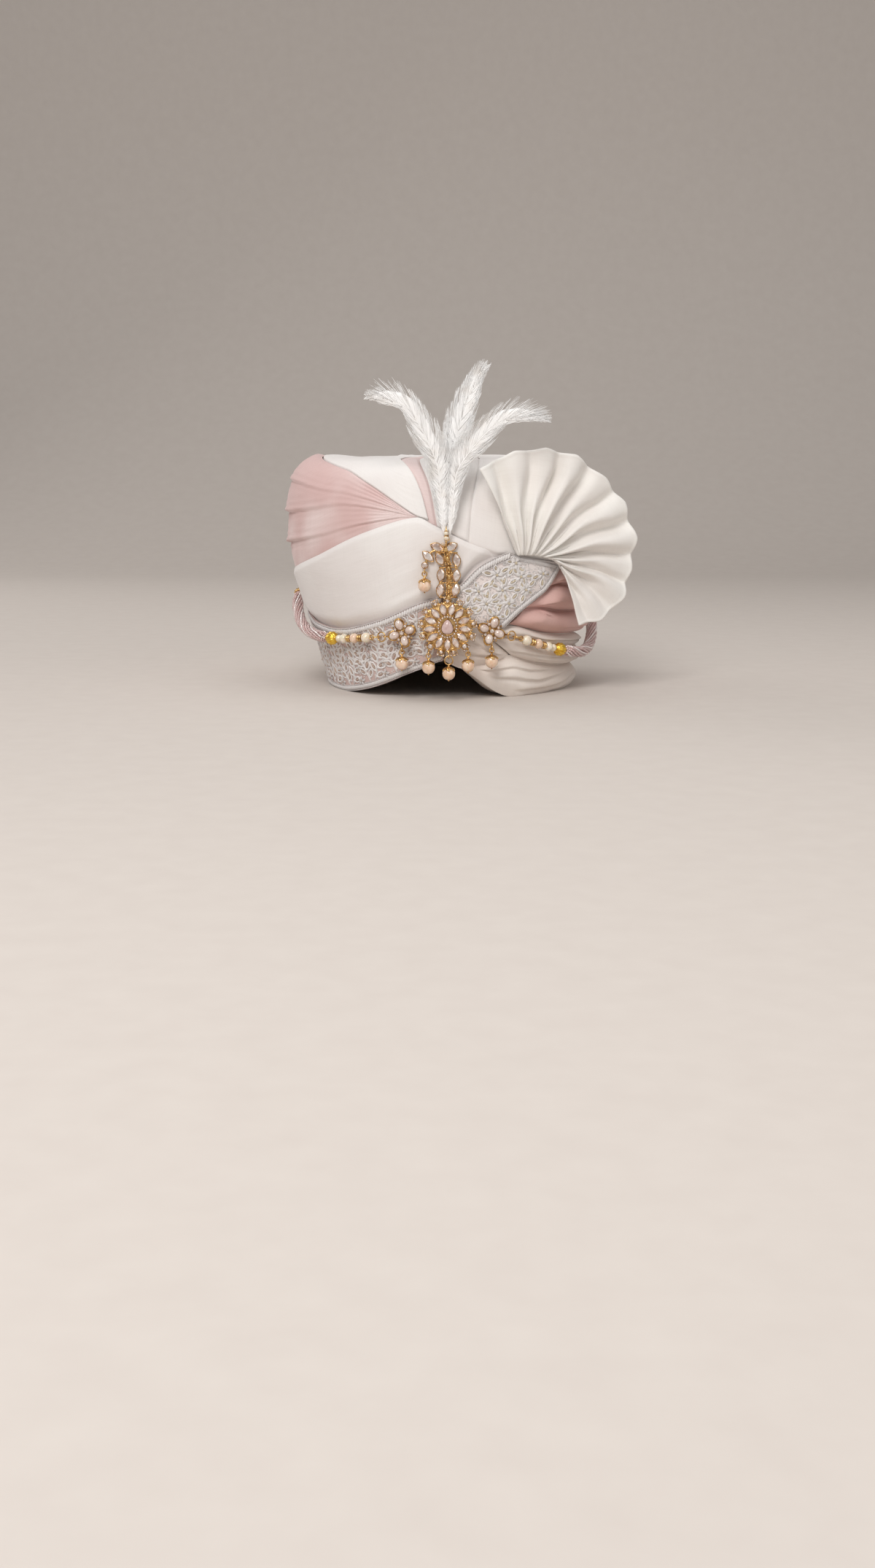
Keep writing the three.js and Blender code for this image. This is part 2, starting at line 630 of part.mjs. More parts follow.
// The pleated side fan, in its own frame: x to the right, y up, z towards the viewer.
function sideFan() {
  const last = FAN_RIDGES.length - 1;
  const ridges = FAN_RIDGES.map((row, at) => ({ at, ...row }));
  const sheet = (offset) => (u, v) => {
    const at = u * last;
    const angle = read(ridges, "at", "angle", at) * DEG;
    const ridge = Math.cos(2 * Math.PI * at);
    const reach = read(ridges, "at", "reach", at) * (1 - 0.025 * (1 - ridge)) * v;
    const depth = FAN_WAVE * ridge * Math.sin(Math.PI * (0.12 + 0.68 * v));
    const forward = FAN_GATHER.forward * (1 - u) * (1 - u);
    const base = V(mix(FAN_GATHER.left, FAN_GATHER.right, u), -FAN_GATHER.drop * u * u, forward);
    const gather = 1 - v;
    return base
      .multiplyScalar(gather)
      .add(V(reach * Math.sin(angle), reach * Math.cos(angle), depth + offset + 5 * v));
  };
  return wall(4 * last, 3, sheet(FAN_WALL / 2), sheet(-FAN_WALL / 2));
}

// Feathers and jewellery, in the brooch's frame: x to the right, y up, z towards the viewer

function feather(rows) {
  const ribs = rows.map((row, at) => ({ at, ...row }));
  const last = rows.length - 1;
  const rib = (u) => V(...["x", "y", "z"].map((axis) => read(ribs, "at", axis, u * last)));
  const sheet = (face) => (u, v) => {
    const along = rib(Math.min(1, u + 0.02)).sub(rib(Math.max(0, u - 0.02)));
    const across = V(-along.y, along.x, 0).normalize();
    const offset = (2 * v - 1) * read(ribs, "at", "half", u * last);
    const thick = v === 0.5 ? 0.9 : 0.25;
    return rib(u).addScaledVector(across, offset).add(V(0, 0, face * thick));
  };
  return wall(9, 2, sheet(1), sheet(-1));
}

// The plume: three feathers in one small ferrule.
function plume() {
  const ferrule = turned([[0, 62.6], [1.7, 62.6], [1.9, 67], [0, 71]], 8).translate(-0.4, 0, 2);
  return fuse([ferrule, ...Object.values(FEATHERS).map(feather)]);
}

// A loop of wire standing edge-on to the viewer, for a ring to hang from.
const loop = (x, y, z) => ring(SMALL_RING).rotateY(Math.PI / 2).translate(x, y, z);

// Height of a hanging ring's centre under the centre of the loop that it hangs from.
const hangDepth = (radius) => SMALL_RING - 2 * WIRE - 0.35 + radius;

// A pearl drop under its ring, with the ring's centre at the origin.
function pearlDrop(radius) {
  const top = -radius - 0.2;
  const tip = top - 1.6 - 2 * PEARL;
  const pearl = [45, 90, 130].map((a) => [
    PEARL * Math.sin(a * DEG),
    tip + PEARL * (1 - Math.cos(a * DEG)),
  ]);
  const cap = [[1, top - 0.6], [0, top + 0.8]];
  return fuse([ring(radius), turned([[0, tip - 0.9], ...pearl, ...cap])]);
}

const DROPS = {
  drop_centre: { x: 1, y: -21.2, radius: SWING_RING },
  drop_inner_left: { x: -13.8, y: -19.2, radius: SMALL_RING },
  drop_inner_right: { x: 15.2, y: -18, radius: SMALL_RING },
  drop_crest: { x: -16.6, y: 40.4, radius: SMALL_RING },
};
const DROP_Z = 2.6;

// The brooch's flower: a pear stone, a ring of small stones, petals and an outer ring.
function broochFlower() {
  const rim = Array.from({ length: 2 * PETAL_COUNT }, (_, k) => {
    const radius = k % 2 ? RIM_RADIUS - 2.4 : RIM_RADIUS;
    const angle = ((k - 0.5) * Math.PI) / PETAL_COUNT;
    return [radius * Math.sin(angle), -radius * Math.cos(angle)];
  });
  const parts = [setStone(rim, 1.2, 1.4)];
  parts.push(setStone(pear(6, 4.6), 3.6, 1.1).translate(0, 0, 1));
  const halo = turned([[6.2, 1], [7.2, 3.3], [8.3, 1], [6.2, 1]], 15).rotateX(Math.PI / 2);
  parts.push(halo.rotateZ(0.11));
  for (let k = 0; k < PETAL_COUNT; k++) {
    const angle = (2 * Math.PI * k) / PETAL_COUNT;
    const petal = setStone(marquise(5.3, 2.8), 0, 3.2).translate(0, -PETAL_RING, 1.1);
    parts.push(petal.rotateZ(angle));
  }
  for (const { x, y } of [DROPS.drop_centre, DROPS.drop_inner_left, DROPS.drop_inner_right]) {
    const top = V(x, y + SMALL_RING, 0);
    const arm = new THREE.BoxGeometry(1.6, 8, 2.2).translate(0, 3.6, 1.8);
    parts.push(arm.rotateZ(Math.atan2(top.x, -top.y)).translate(top.x, top.y, 0));
    parts.push(loop(x, y, DROP_Z));
  }
  return fuse(parts.map(standing));
}

// The crest over the flower: two columns of stones on a chased rib, with a curl to the left.
function broochCrest() {
  const rib = new THREE.CatmullRomCurve3([V(0.8, 22, 1.4), V(1, 40, 1.4), V(-1.6, 58, 1.4)]);
  const curl = new THREE.CatmullRomCurve3([V(-5, 57, 1.4), V(-13, 53, 1.4), V(-16.6, 43, 1.4)]);
  const parts = [tube(rib, 4, 2.4, 6), tube(curl, 4, 1, 6), loop(-16.6, 40.4, DROP_Z)];
  for (const { x, y, lean } of CREST_STONES)
    parts.push(setStone(marquise(5.3, 3), 0, 3).rotateZ(lean * DEG).translate(x, y, 0.6));
  for (const y of [27, 37.5, 48.7]) parts.push(new THREE.BoxGeometry(12, 1.6, 1.2).translate(0.6, y, 1.2));
  parts.push(setStone(oval(2.6, 2.6), 2, 0.8).translate(-16.4, 44.6, 0.8));
  return fuse(parts.map(standing));
}

// Two pearls on a pin between the crest and the plume.
function crestFinial() {
  const profile = [[0, 57], [0.6, 57.4], [0.6, 62.4], [1.9, 64.4], [0.7, 66.2], [1.8, 68], [0.6, 69.8], [0, 73]];
  return turned(profile).translate(-1, 0, 6);
}

// Where a side flower's chain starts, and the chain's spacing: loop, two links, the string's eye.
const CHAIN_LOOP = { x: 12.6, y: -3, z: 2.6 };
const LINK_RING = 3.4;
const joined = (a, b) => a + b - 2 * WIRE - 0.35;
const LINK_ONE = joined(SMALL_RING, LINK_RING);
const LINK_TWO = LINK_ONE + joined(LINK_RING, LINK_RING);
const EYE = LINK_TWO + joined(LINK_RING, SMALL_RING);

// A wire ring round a route, upright to the cloth or flat along it.
function ringOnRoute(curve, at, radius, flat) {
  const along = curve.getTangentAt(at / curve.getLength());
  const up = V(0, 0, 1).addScaledVector(along, -along.z).normalize();
  const out = new THREE.Vector3().crossVectors(along, up);
  const basis = flat
    ? new THREE.Matrix4().makeBasis(along, up, out)
    : new THREE.Matrix4().makeBasis(along, out.clone().negate(), up);
  return ring(radius).applyMatrix4(basis).translate(...curve.getPointAt(at / curve.getLength()));
}

// A side flower: four oval stones round a small one, with loops for the string and the drop.
function sideFlower(toString) {
  const parts = [turned([[0, 0], [5.4, 0], [5.4, 1.2], [0, 1.2]], 12).rotateX(Math.PI / 2)];
  parts.push(setStone(oval(2.6, 2.6), 0, 4.6).translate(0, 0, 0.6));
  for (const angle of [20, 110, 200, 290]) {
    const petal = setStone(oval(4.7, 3.6), 0, 4.2).rotateX(-0.25).translate(0, 6.4, 0.6);
    parts.push(petal.rotateZ(-angle * DEG * toString));
  }
  parts.push(loop(0, -12.2, DROP_Z), new THREE.BoxGeometry(1.6, 6.6, 1.4).translate(0, -8.1, 1.7));
  parts.push(ring(SMALL_RING).rotateX(Math.PI / 2).translate(toString * CHAIN_LOOP.x, CHAIN_LOOP.y, CHAIN_LOOP.z));
  parts.push(new THREE.BoxGeometry(8, 1.6, 1.6).translate(toString * (CHAIN_LOOP.x - 5.4), CHAIN_LOOP.y, CHAIN_LOOP.z));
  return fuse(parts.map(standing));
}

// From a brooch frame to the turban's axes, for a piece that hangs or lies upright.
function standing(geometry) {
  return geometry.rotateX(Math.PI / 2);
}

// A string of beads fused on its wire along a route, from its eye to the fluted bead.
function beadString(curve) {
  const length = curve.getLength();
  const sides = 10;
  const points = [];
  const addRing = (at, radius) => {
    const along = curve.getTangentAt(at / length);
    const up = V(0, 0, 1).addScaledVector(along, -along.z).normalize();
    const out = new THREE.Vector3().crossVectors(along, up);
    for (let k = 0; k < sides; k++) {
      const angle = (2 * Math.PI * k) / sides;
      const spoke = up.clone().multiplyScalar(Math.cos(angle)).addScaledVector(out, Math.sin(angle));
      points.push(curve.getPointAt(at / length).addScaledVector(spoke, radius));
    }
  };
  let at = EYE + SMALL_RING - 0.3;
  for (const { half, radius } of BEADS) {
    addRing(at, WIRE);
    for (const share of radius < 3 ? [1] : [0.35, 1, 1.65]) addRing(at + share * half, radius * Math.sin((share * Math.PI) / 2));
    at += 2 * half;
  }
  addRing(at, WIRE);
  const faces = [];
  const rows = points.length / sides;
  for (let k = 0; k < sides; k++) {
    const next = (k + 1) % sides;
    for (let r = 0; r < rows - 1; r++) {
      const [a, b] = [r * sides, (r + 1) * sides];
      faces.push([a + k, b + next, b + k], [a + k, a + next, b + next]);
    }
    const end = (rows - 1) * sides;
    if (k > 0 && k < sides - 1) faces.push([0, k + 1, k], [end, end + k, end + k + 1]);
  }
  const beads = geometryOf(points, faces);
  return { geometry: fuse([beads, ringOnRoute(curve, EYE, SMALL_RING, true)]), end: at };
}

// A stretch of a route, as a curve of its own.
function stretch(curve, from, to) {
  const points = [];
  for (let k = 0; k <= 12; k++) points.push(curve.getPointAt(mix(from, to, k / 12) / curve.getLength()));
  return new THREE.CatmullRomCurve3(points);
}

// A cone cap on the end of a rope of beads.
function ropeCap(curve) {
  const cone = turned([[0, 0], [3.6, 0], [4, 1.5], [1.9, 7], [1.7, 9], [0, 9]]);
  const turnTo = new THREE.Quaternion().setFromUnitVectors(V(0, 1, 0), curve.getTangentAt(1));
  const end = curve.getPointAt(1).addScaledVector(curve.getTangentAt(1), 0.4);
  return cone.applyQuaternion(turnTo).translate(...end);
}

// Finishes

const finish = (color, roughness, metalness = 0) =>
  new THREE.MeshStandardMaterial({ color, roughness, metalness });
const IVORY = finish(0xece7e2, 0.7);
const ROSE = finish(0xd9b0aa, 0.65);
const EMBROIDERY = finish(0xdccfcd, 0.85);
const FEATHER = finish(0xf1eeea, 0.9);
const GOLD = finish(0xc9a15c, 0.3, 0.9);
const PEARL_PEACH = finish(0xe6bf9c, 0.35, 0.1);
const SEED_BEADS = finish(0xc9a3a0, 0.25);
const TIE_CORD = finish(0xd8c4a0, 0.8);

// Assembly

const turban = new THREE.Group();

function add(parent, name, geometry, material) {
  const mesh = new THREE.Mesh(geometry, material);
  mesh.name = name;
  parent.add(mesh);
  return mesh;
}

add(turban, "wound_body", woundBody(), IVORY);
add(turban, "embroidered_border", borderBand(), EMBROIDERY);
add(turban, "embroidered_strip", crossStrip(), EMBROIDERY);
add(turban, "white_wrap", whiteWrap(), IVORY);
add(turban, "rose_pleats", rosePleats(), ROSE);
add(turban, "white_top_wrap", whiteTopWrap(), IVORY);

const overWhite = (turn) => whiteTop(turn) + 1.6 * SEAM;
const overStrip = (turn) => read(RIGHT_LOW, "turn", "rise", turn);
const rightEnd = [{ rise: 0, turn: 101.4 }, { rise: POLE_RISE, turn: 101.4 }];
const stripe = risingWrap(STRIPE_LEFT, STRIPE_RIGHT, overWhite, 10, 2, TOP_LIFT - 0.6);
const innerWrap = risingWrap(STRIPE_RIGHT, RIGHT_CREASE, overWhite, 10, 2, TOP_LIFT);
const outerWrap = risingWrap(RIGHT_CREASE, rightEnd, overStrip, 9, 8, TOP_LIFT + 0.8);
add(turban, "rose_stripe", stripe, ROSE);
add(turban, "right_wrap_inner", innerWrap, IVORY);
add(turban, "right_wrap_outer", outerWrap, IVORY);

const rolls = {
  roll_front: { table: ROLL_FRONT, lift: rollLift(2, 5.2, 0.6), material: IVORY },
  fold_lower: { table: FOLD_LOWER, lift: rollLift(2, 9, 0.2), material: IVORY },
  fold_upper: { table: FOLD_UPPER, lift: rollLift(2, 7.5, 0.3), material: IVORY },
  rose_fold_lower: { table: ROSE_FOLD_LOWER, lift: rollLift(2.5, 11, 0.3), material: ROSE },
  rose_fold_middle: { table: ROSE_FOLD_MIDDLE, lift: rollLift(2.5, 11.5, 0.3), material: ROSE },
  rose_fold_upper: { table: ROSE_FOLD_UPPER, lift: rollLift(2.5, 10.5, 0.3), material: ROSE },
};
add(turban, "roll_bottom", bottomRoll(), IVORY);
for (const [name, { table, lift, material }] of Object.entries(rolls))
  add(turban, name, clothOnCrown(9, 4, slantwise(table), lift), material);

const fanTurn = new THREE.Group();
fanTurn.position.set(FAN_BASE.x, FAN_BASE.y, FAN_BASE.z);
fanTurn.rotation.z = FAN_YAW * DEG;
turban.add(fanTurn);
add(fanTurn, "side_fan", standing(sideFan()), IVORY);

const brooch = new THREE.Group();
brooch.position.set(BROOCH.x, BROOCH.y, BROOCH.z);
turban.add(brooch);
add(brooch, "brooch_flower", broochFlower(), GOLD);
add(brooch, "brooch_crest", broochCrest(), GOLD);
add(brooch, "crest_finial", standing(crestFinial()), PEARL_PEACH);
add(brooch, "plume", standing(plume()), FEATHER);
for (const [name, { x, y, radius }] of Object.entries(DROPS)) {
  const drop = add(brooch, name, standing(pearlDrop(radius)), PEARL_PEACH);
  drop.position.set(x, -DROP_Z, y - hangDepth(radius));
}

const sides = {
  left: { turn: -15.5, rise: 52, lift: 7, toString: -1, rows: LEFT_ROUTE },
  right: { turn: 18, rise: 53.5, lift: 8.6, toString: 1, rows: RIGHT_ROUTE },
};
for (const [side, { turn, rise, lift, toString, rows }] of Object.entries(sides)) {
  const flower = new THREE.Group();
  flower.position.copy(onCrown(turn, rise, lift));
  flower.rotation.z = turn * DEG;
  turban.add(flower);
  add(flower, `side_flower_${side}`, sideFlower(toString), GOLD);
  const drop = add(flower, `drop_outer_${side}`, standing(pearlDrop(SMALL_RING)), PEARL_PEACH);
  drop.position.set(0, -DROP_Z, -12.2 - hangDepth(SMALL_RING));

  const chainStart = V(toString * CHAIN_LOOP.x, -CHAIN_LOOP.z, CHAIN_LOOP.y);
  flower.updateMatrixWorld(true);
  const curve = new THREE.CatmullRomCurve3([flower.localToWorld(chainStart), ...routePoints(rows)]);
  add(turban, `link_inner_${side}`, ringOnRoute(curve, LINK_ONE, LINK_RING, true), GOLD);
  add(turban, `link_outer_${side}`, ringOnRoute(curve, LINK_TWO, LINK_RING, false), GOLD);
  const string = beadString(curve);
  add(turban, `bead_string_${side}`, string.geometry, GOLD);
  const ropeCurve = stretch(curve, string.end + 0.6, curve.getLength());
  add(turban, `bead_rope_${side}`, tube(ropeCurve, 10, ROPE_RADIUS), SEED_BEADS);
  add(turban, `rope_cap_${side}`, ropeCap(ropeCurve), GOLD);
}
const tie = new THREE.CatmullRomCurve3(routePoints(BACK_ROUTE));
add(turban, "tie_cord", tube(tie, 20, TIE_RADIUS, 5), TIE_CORD);

export default turban;
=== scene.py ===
"""A tied wedding turban (pagri) in ivory and rose cloth, with an embroidered border, a pleated side
fan, and a feathered brooch whose bead strings run round both sides to a tie at the back.

A place on the turban is given by its turn, in degrees about +Z from the front towards +X, by its
rise, the distance up the cloth from the rim, and by its lift off the wound body. Tables and shapes
are in millimetres, and finished meshes are in metres.
"""
import math
from functools import partial

import bmesh
import bpy
import numpy as np
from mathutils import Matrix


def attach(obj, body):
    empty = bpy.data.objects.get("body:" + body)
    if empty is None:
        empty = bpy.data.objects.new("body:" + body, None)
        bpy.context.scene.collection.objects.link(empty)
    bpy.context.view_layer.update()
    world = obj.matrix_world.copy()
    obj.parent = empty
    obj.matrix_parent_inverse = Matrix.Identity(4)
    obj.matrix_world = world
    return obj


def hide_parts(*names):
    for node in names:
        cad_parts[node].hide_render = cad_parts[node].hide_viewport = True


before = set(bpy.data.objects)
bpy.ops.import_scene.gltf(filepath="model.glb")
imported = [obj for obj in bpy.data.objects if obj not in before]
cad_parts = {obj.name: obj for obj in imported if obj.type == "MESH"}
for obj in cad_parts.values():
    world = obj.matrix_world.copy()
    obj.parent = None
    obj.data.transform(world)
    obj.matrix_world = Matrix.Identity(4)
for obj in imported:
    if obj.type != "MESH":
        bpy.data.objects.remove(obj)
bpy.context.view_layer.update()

MM = 0.001
BACK_SEAM = -258
POLE_RISE = 273.5
FOOT_RISE = 130
SEAM = 0.7
SEAM_WANDER = 2.6
BORDER_LIFT = 4.0
STRIP_LIFT = 5.8
STRIP_STITCH_LIFT = 6.1
BRANCH_PITCH = 7.2
FAN_BASE = (74, -103.5, 106)
FAN_YAW = 25
WIRE = 0.55
PEARL = 4.8
SMALL_RING = 1.7
SWING_RING = 3
LINK_RING = 3.4
BROOCH = (3.7, -127.6, 55)
DROP_Z = 2.6
DROP_LOOPS = {
    "drop_centre": (1, -21.2),
    "drop_inner_left": (-13.8, -19.2),
    "drop_inner_right": (15.2, -18),
    "drop_crest": (-16.6, 40.4),
}
SIDE_LOOP = -12.2
CHAIN_LOOP = (12.6, -3)
INNER_LINK = 3.65
OUTER_LINK = 9.0
STRING_RING = 12.65
STRING_START = 14.05
STRING_LENGTH = 47.6
ROPE_START = 62.25
random = np.random.default_rng(7)


# Camera, light and floor


def set_up(data, place, turn):
    """Stands a camera or a lamp at a place, in metres, turned by degrees about x, y and z."""
    thing = bpy.data.objects.new(data.name, data)
    thing.location = place
    thing.rotation_euler = [math.radians(angle) for angle in turn]
    bpy.context.scene.collection.objects.link(thing)
    return thing


def set_stage():
    scene = bpy.context.scene
    eye = bpy.data.cameras.new("eye")
    eye.lens = 40.19
    eye.sensor_width = 36
    scene.camera = set_up(eye, (-0.0035, -1.404, 0.17494), (79.5, 0, 0))
    scene.view_settings.view_transform = "Standard"

    flat_end = 1300
    bend = 900
    profile = [(-1600, 0), (flat_end, 0)]
    for step in range(1, 13):
        angle = math.radians(7.5 * step)
        profile.append((flat_end + bend * math.sin(angle), bend * (1 - math.cos(angle))))
    profile.append((flat_end + bend, 3200))
    points = [(side, y, z) for y, z in profile for side in (-3500, 3500)]
    faces = [(2 * k, 2 * k + 1, 2 * k + 3, 2 * k + 2) for k in range(len(profile) - 1)]
    floor = mesh_object("floor", points, faces)
    paper = Finish("studio_paper", {"Roughness": 0.9})
    grain = paper.noise(paper.place(), 60, 3)
    paper.colour(paper.blend((204, 195, 188), (211, 203, 196), grain))
    floor.data.materials.append(paper.material)

    lamps = (
        ("key", (-0.4, -1.5, 1.3), (52, 0, -15.5), 0.8, 20.0),
        ("fill", (1.25, -1.15, 0.75), (64, 0, 48), 1.0, 3.0),
        ("top", (0.15, 0.15, 1.5), (0, 0, 0), 1.2, 5.5),
        ("rim", (-1.2, 0.9, 0.9), (-60, 0, 50), 0.9, 5.0),
    )
    for name, place, turn, size, power in lamps:
        light = bpy.data.lights.new(name, "AREA")
        light.size = size
        light.energy = power
        light.color = (1.0, 0.985, 0.97)
        set_up(light, place, turn)
    world = bpy.data.worlds.new("studio")
    world.use_nodes = True
    background = world.node_tree.nodes["Background"]
    background.inputs["Color"].default_value = (0.93, 0.92, 0.91, 1)
    background.inputs["Strength"].default_value = 0.40
    scene.world = world


# Finishes


def shade(colour):
    """A shader's colour from one given as it shows on a screen. A mixed colour stays as it is."""
    if isinstance(colour, Field):
        return colour
    shares = [share / 255 for share in colour]
    return (*(c / 12.92 if c < 0.04045 else ((c + 0.055) / 1.055) ** 2.4 for c in shares), 1.0)


class Field:
    """A value that changes over a surface. Arithmetic on it adds Math nodes."""

    def __init__(self, finish, socket):
        self.finish = finish
        self.socket = socket

    def maths(self, operation, *values):
        return self.finish.node("ShaderNodeMath", {"operation": operation}, dict(enumerate(values)))

    def __add__(self, other):
        return self.maths("ADD", self, other)

    def __sub__(self, other):
        return self.maths("SUBTRACT", self, other)

    def __rsub__(self, other):
        return self.maths("SUBTRACT", other, self)

    def __mul__(self, other):
        return self.maths("MULTIPLY", self, other)

    __radd__ = __add__
    __rmul__ = __mul__

    def sine(self):
        return self.maths("SINE", self)

    def size(self):
        return self.maths("ABSOLUTE", self)


class Finish:
    """A procedural material round one surface shader."""

    def __init__(self, name, constants):
        self.material = bpy.data.materials.new(name)
        self.material.use_nodes = True
        self.tree = self.material.node_tree
        self.surface = self.tree.nodes["Principled BSDF"]
        for socket, value in constants.items():
            self.surface.inputs[socket].default_value = value

    def node(self, kind, settings=None, inputs=None, output=0):
        node = self.tree.nodes.new(kind)
        for setting, value in (settings or {}).items():
            setattr(node, setting, value)
        for socket, value in (inputs or {}).items():
            if isinstance(value, Field):
                self.tree.links.new(value.socket, node.inputs[socket])
            else:
                node.inputs[socket].default_value = value
        return Field(self, node.outputs[output])

    def place(self):
        return self.node("ShaderNodeTexCoord", output=3)

    def cloth(self):
        return self.node("ShaderNodeUVMap", {"uv_map": "cloth"})

    def part(self, vector, axis):
        return self.node("ShaderNodeSeparateXYZ", None, {0: vector}, axis)

    def stretched(self, vector, scale):
        return self.node("ShaderNodeMapping", None, {"Vector": vector, "Scale": scale})

    def noise(self, vector, scale, detail):
        sockets = {"Vector": vector, "Scale": scale, "Detail": detail}
        return self.node("ShaderNodeTexNoise", None, sockets)

    def ramp(self, value, low, high):
        """A share from 0 at low to 1 at high, smooth at both ends."""
        settings = {"interpolation_type": "SMOOTHSTEP"}
        return self.node("ShaderNodeMapRange", settings, {0: value, 1: low, 2: high})

    def blend(self, low, high, share):
        sockets = {0: share, 6: shade(low), 7: shade(high)}
        return self.node("ShaderNodeMix", {"data_type": "RGBA"}, sockets, 2)

    def link(self, value, socket):
        self.tree.links.new(value.socket, self.surface.inputs[socket])

    def colour(self, value):
        self.link(value, "Base Color")

    def rough(self, value):
        self.link(value, "Roughness")

    def bump(self, height, distance, strength):
        sockets = {"Height": height, "Distance": distance, "Strength": strength}
        self.link(self.node("ShaderNodeBump", None, sockets), "Normal")


def woven(name, pale, deep, blush, threads, sheen):
    """Fine plain-woven cloth with slubs along the thread and soft, uneven shading."""
    finish = Finish(name, {"Sheen Weight": sheen, "Sheen Roughness": 0.35, "Specular IOR Level": 0.35})
    cloth = finish.cloth()
    pitch = 2 * math.pi * threads
    weave = (finish.part(cloth, 0) * pitch).sine() * (finish.part(cloth, 1) * pitch).sine()
    slub = finish.noise(finish.stretched(cloth, (3, 130, 1)), 1, 3)
    cross = finish.noise(finish.stretched(cloth, (110, 4, 1)), 1, 2)
    thread = slub * 0.6 + cross * 0.4
    mottle = finish.noise(finish.place(), 16, 2)
    soft = finish.blend(pale, blush, finish.ramp(mottle, 0.36, 0.62))
    finish.colour(finish.blend(soft, deep, finish.ramp(thread, 0.42, 0.75) * 0.24))
    finish.rough(0.5 + thread * 0.3)
    crumple = finish.noise(finish.stretched(cloth, (2.2, 7, 1)), 1, 3)
    finish.bump(weave * 0.05 + thread * 0.12 + crumple * 1.1, 0.0009, 0.7)
    return finish.material


def stitched(name, pale, deep, metallic, rows):
    """Satin stitch: threads laid slantwise to both sides of a rib."""
    finish = Finish(name, {"Metallic": metallic, "Specular IOR Level": 0.6, "Sheen Weight": 0.15})
    stitch = finish.cloth()
    along = finish.part(stitch, 0)
    across = finish.part(stitch, 1).size()
    threads = ((along + across * 0.6) * (2 * math.pi * rows)).sine()
    fleck = finish.noise(finish.place(), 900, 2)
    # The colour follows the stitch lines of the bump: pale on the threads and dark in the grooves between
    # them, as painted shade. The flecks are random tone.
    finish.colour(finish.blend(deep, pale, finish.ramp(threads * 0.3 + fleck, 0.2, 0.75)))
    finish.rough(0.36 + fleck * 0.25)
    finish.bump(threads, 0.00016, 0.6)
    return finish.material


def metal(name, bright, deep, roughness):
    """Cast gold plate, tarnished darker in random patches."""
    finish = Finish(name, {"Metallic": 1.0})
    tarnish = finish.noise(finish.place(), 420, 3)
    finish.colour(finish.blend(bright, deep, finish.ramp(tarnish, 0.42, 0.72)))
    finish.rough(roughness + tarnish * 0.18)
    finish.bump(finish.noise(finish.place(), 1500, 2), 0.00012, 0.5)
    return finish.material


def stone(name, pale, deep, metallic, roughness, scale, clear=0.0):
    """Foiled glass: clear over a bright, slightly uneven back."""
    settings = {"Metallic": metallic, "Coat Weight": 1.0, "Coat Roughness": 0.03, "IOR": 1.6}
    finish = Finish(name, settings | {"Transmission Weight": clear})
    depth = finish.noise(finish.place(), scale, 2)
    finish.colour(finish.blend(deep, pale, finish.ramp(depth, 0.3, 0.66)))
    finish.rough(roughness + depth * 0.1)
    return finish.material


def pearl_finish(name, pale, deep, roughness):
    """Nacre: a soft bloom of two tones under a clear gloss."""
    settings = {"Coat Weight": 0.8, "Coat Roughness": 0.12, "Subsurface Weight": 0.12}
    finish = Finish(name, settings | {"Subsurface Scale": 0.002})
    bloom = finish.noise(finish.place(), 260, 3)
    rim = finish.node("ShaderNodeLayerWeight", None, {"Blend": 0.35}, 1)
    finish.colour(finish.blend(pale, deep, finish.ramp(bloom, 0.35, 0.7)))
    finish.rough(roughness + bloom * 0.12 + rim * 0.05)
    finish.bump(bloom, 0.0002, 0.4)
    return finish.material


def downy(name, pale, deep):
    """White feather barbs, with random patches of ivory."""
    finish = Finish(name, {"Roughness": 0.8, "Sheen Weight": 0.5, "Sheen Roughness": 0.4})
    tone = finish.noise(finish.place(), 90, 3)
    finish.colour(finish.blend(pale, deep, finish.ramp(tone, 0.42, 0.78)))
    return finish.material


IVORY = woven("ivory_cloth", (243, 239, 236), (222, 214, 209), (237, 231, 228), 160, 0.25)
FAN_IVORY = woven("fan_cloth", (243, 240, 235), (224, 216, 209), (238, 233, 228), 150, 0.25)
# The rolls' ivory: warmer, and darker than the wraps' ivory as painted shade on the folds low at the right.
WARM_SHADED_IVORY = woven("warm_shaded_folded_cloth", (238, 229, 221), (212, 197, 187), (230, 218, 209), 150, 0.2)
ROSE = woven("rose_cloth", (234, 214, 211), (200, 163, 159), (217, 184, 180), 150, 0.3)
# The rose rolls' cloth: a dusty mauve rose, made deeper than the pleats' rose as painted shade.
SHADED_MAUVE_ROSE = woven("shaded_mauve_rose_folds", (226, 190, 182), (190, 150, 142), (214, 174, 166), 150, 0.25)
LINING = woven("wound_lining", (220, 208, 198), (180, 164, 152), (205, 190, 178), 90, 0.1)
GROUND = woven("border_ground", (214, 190, 184), (178, 150, 143), (200, 174, 168), 70, 0.1)
PALE_GROUND = woven("strip_ground", (243, 235, 232), (218, 204, 199), (235, 223, 219), 70, 0.1)
THREAD = stitched("white_thread", (255, 253, 252), (236, 228, 225), 0.0, 5)
SILVER = stitched("silver_thread", (253, 250, 249), (222, 211, 207), 0.12, 6)
GOLD_THREAD = stitched("gold_thread", (246, 234, 210), (222, 202, 166), 0.1, 6)
TAN_THREAD = stitched("tan_thread", (230, 208, 192), (200, 172, 155), 0.1, 6)
GOLD = metal("antique_gold", (232, 194, 134), (160, 112, 58), 0.2)
BRIGHT_GOLD = metal("bright_gold", (252, 212, 92), (222, 168, 52), 0.24)
CRYSTAL = stone("crystal", (252, 247, 243), (188, 164, 152), 0.7, 0.04, 900)
FOIL = stone("foiled_stone", (252, 242, 235), (212, 182, 165), 0.72, 0.06, 260)
BLUSH_STONE = stone("blush_stone", (224, 198, 193), (196, 164, 158), 0.0, 0.2, 200)
MOONSTONE = stone("moonstone", (238, 222, 212), (206, 180, 166), 0.1, 0.12, 260)
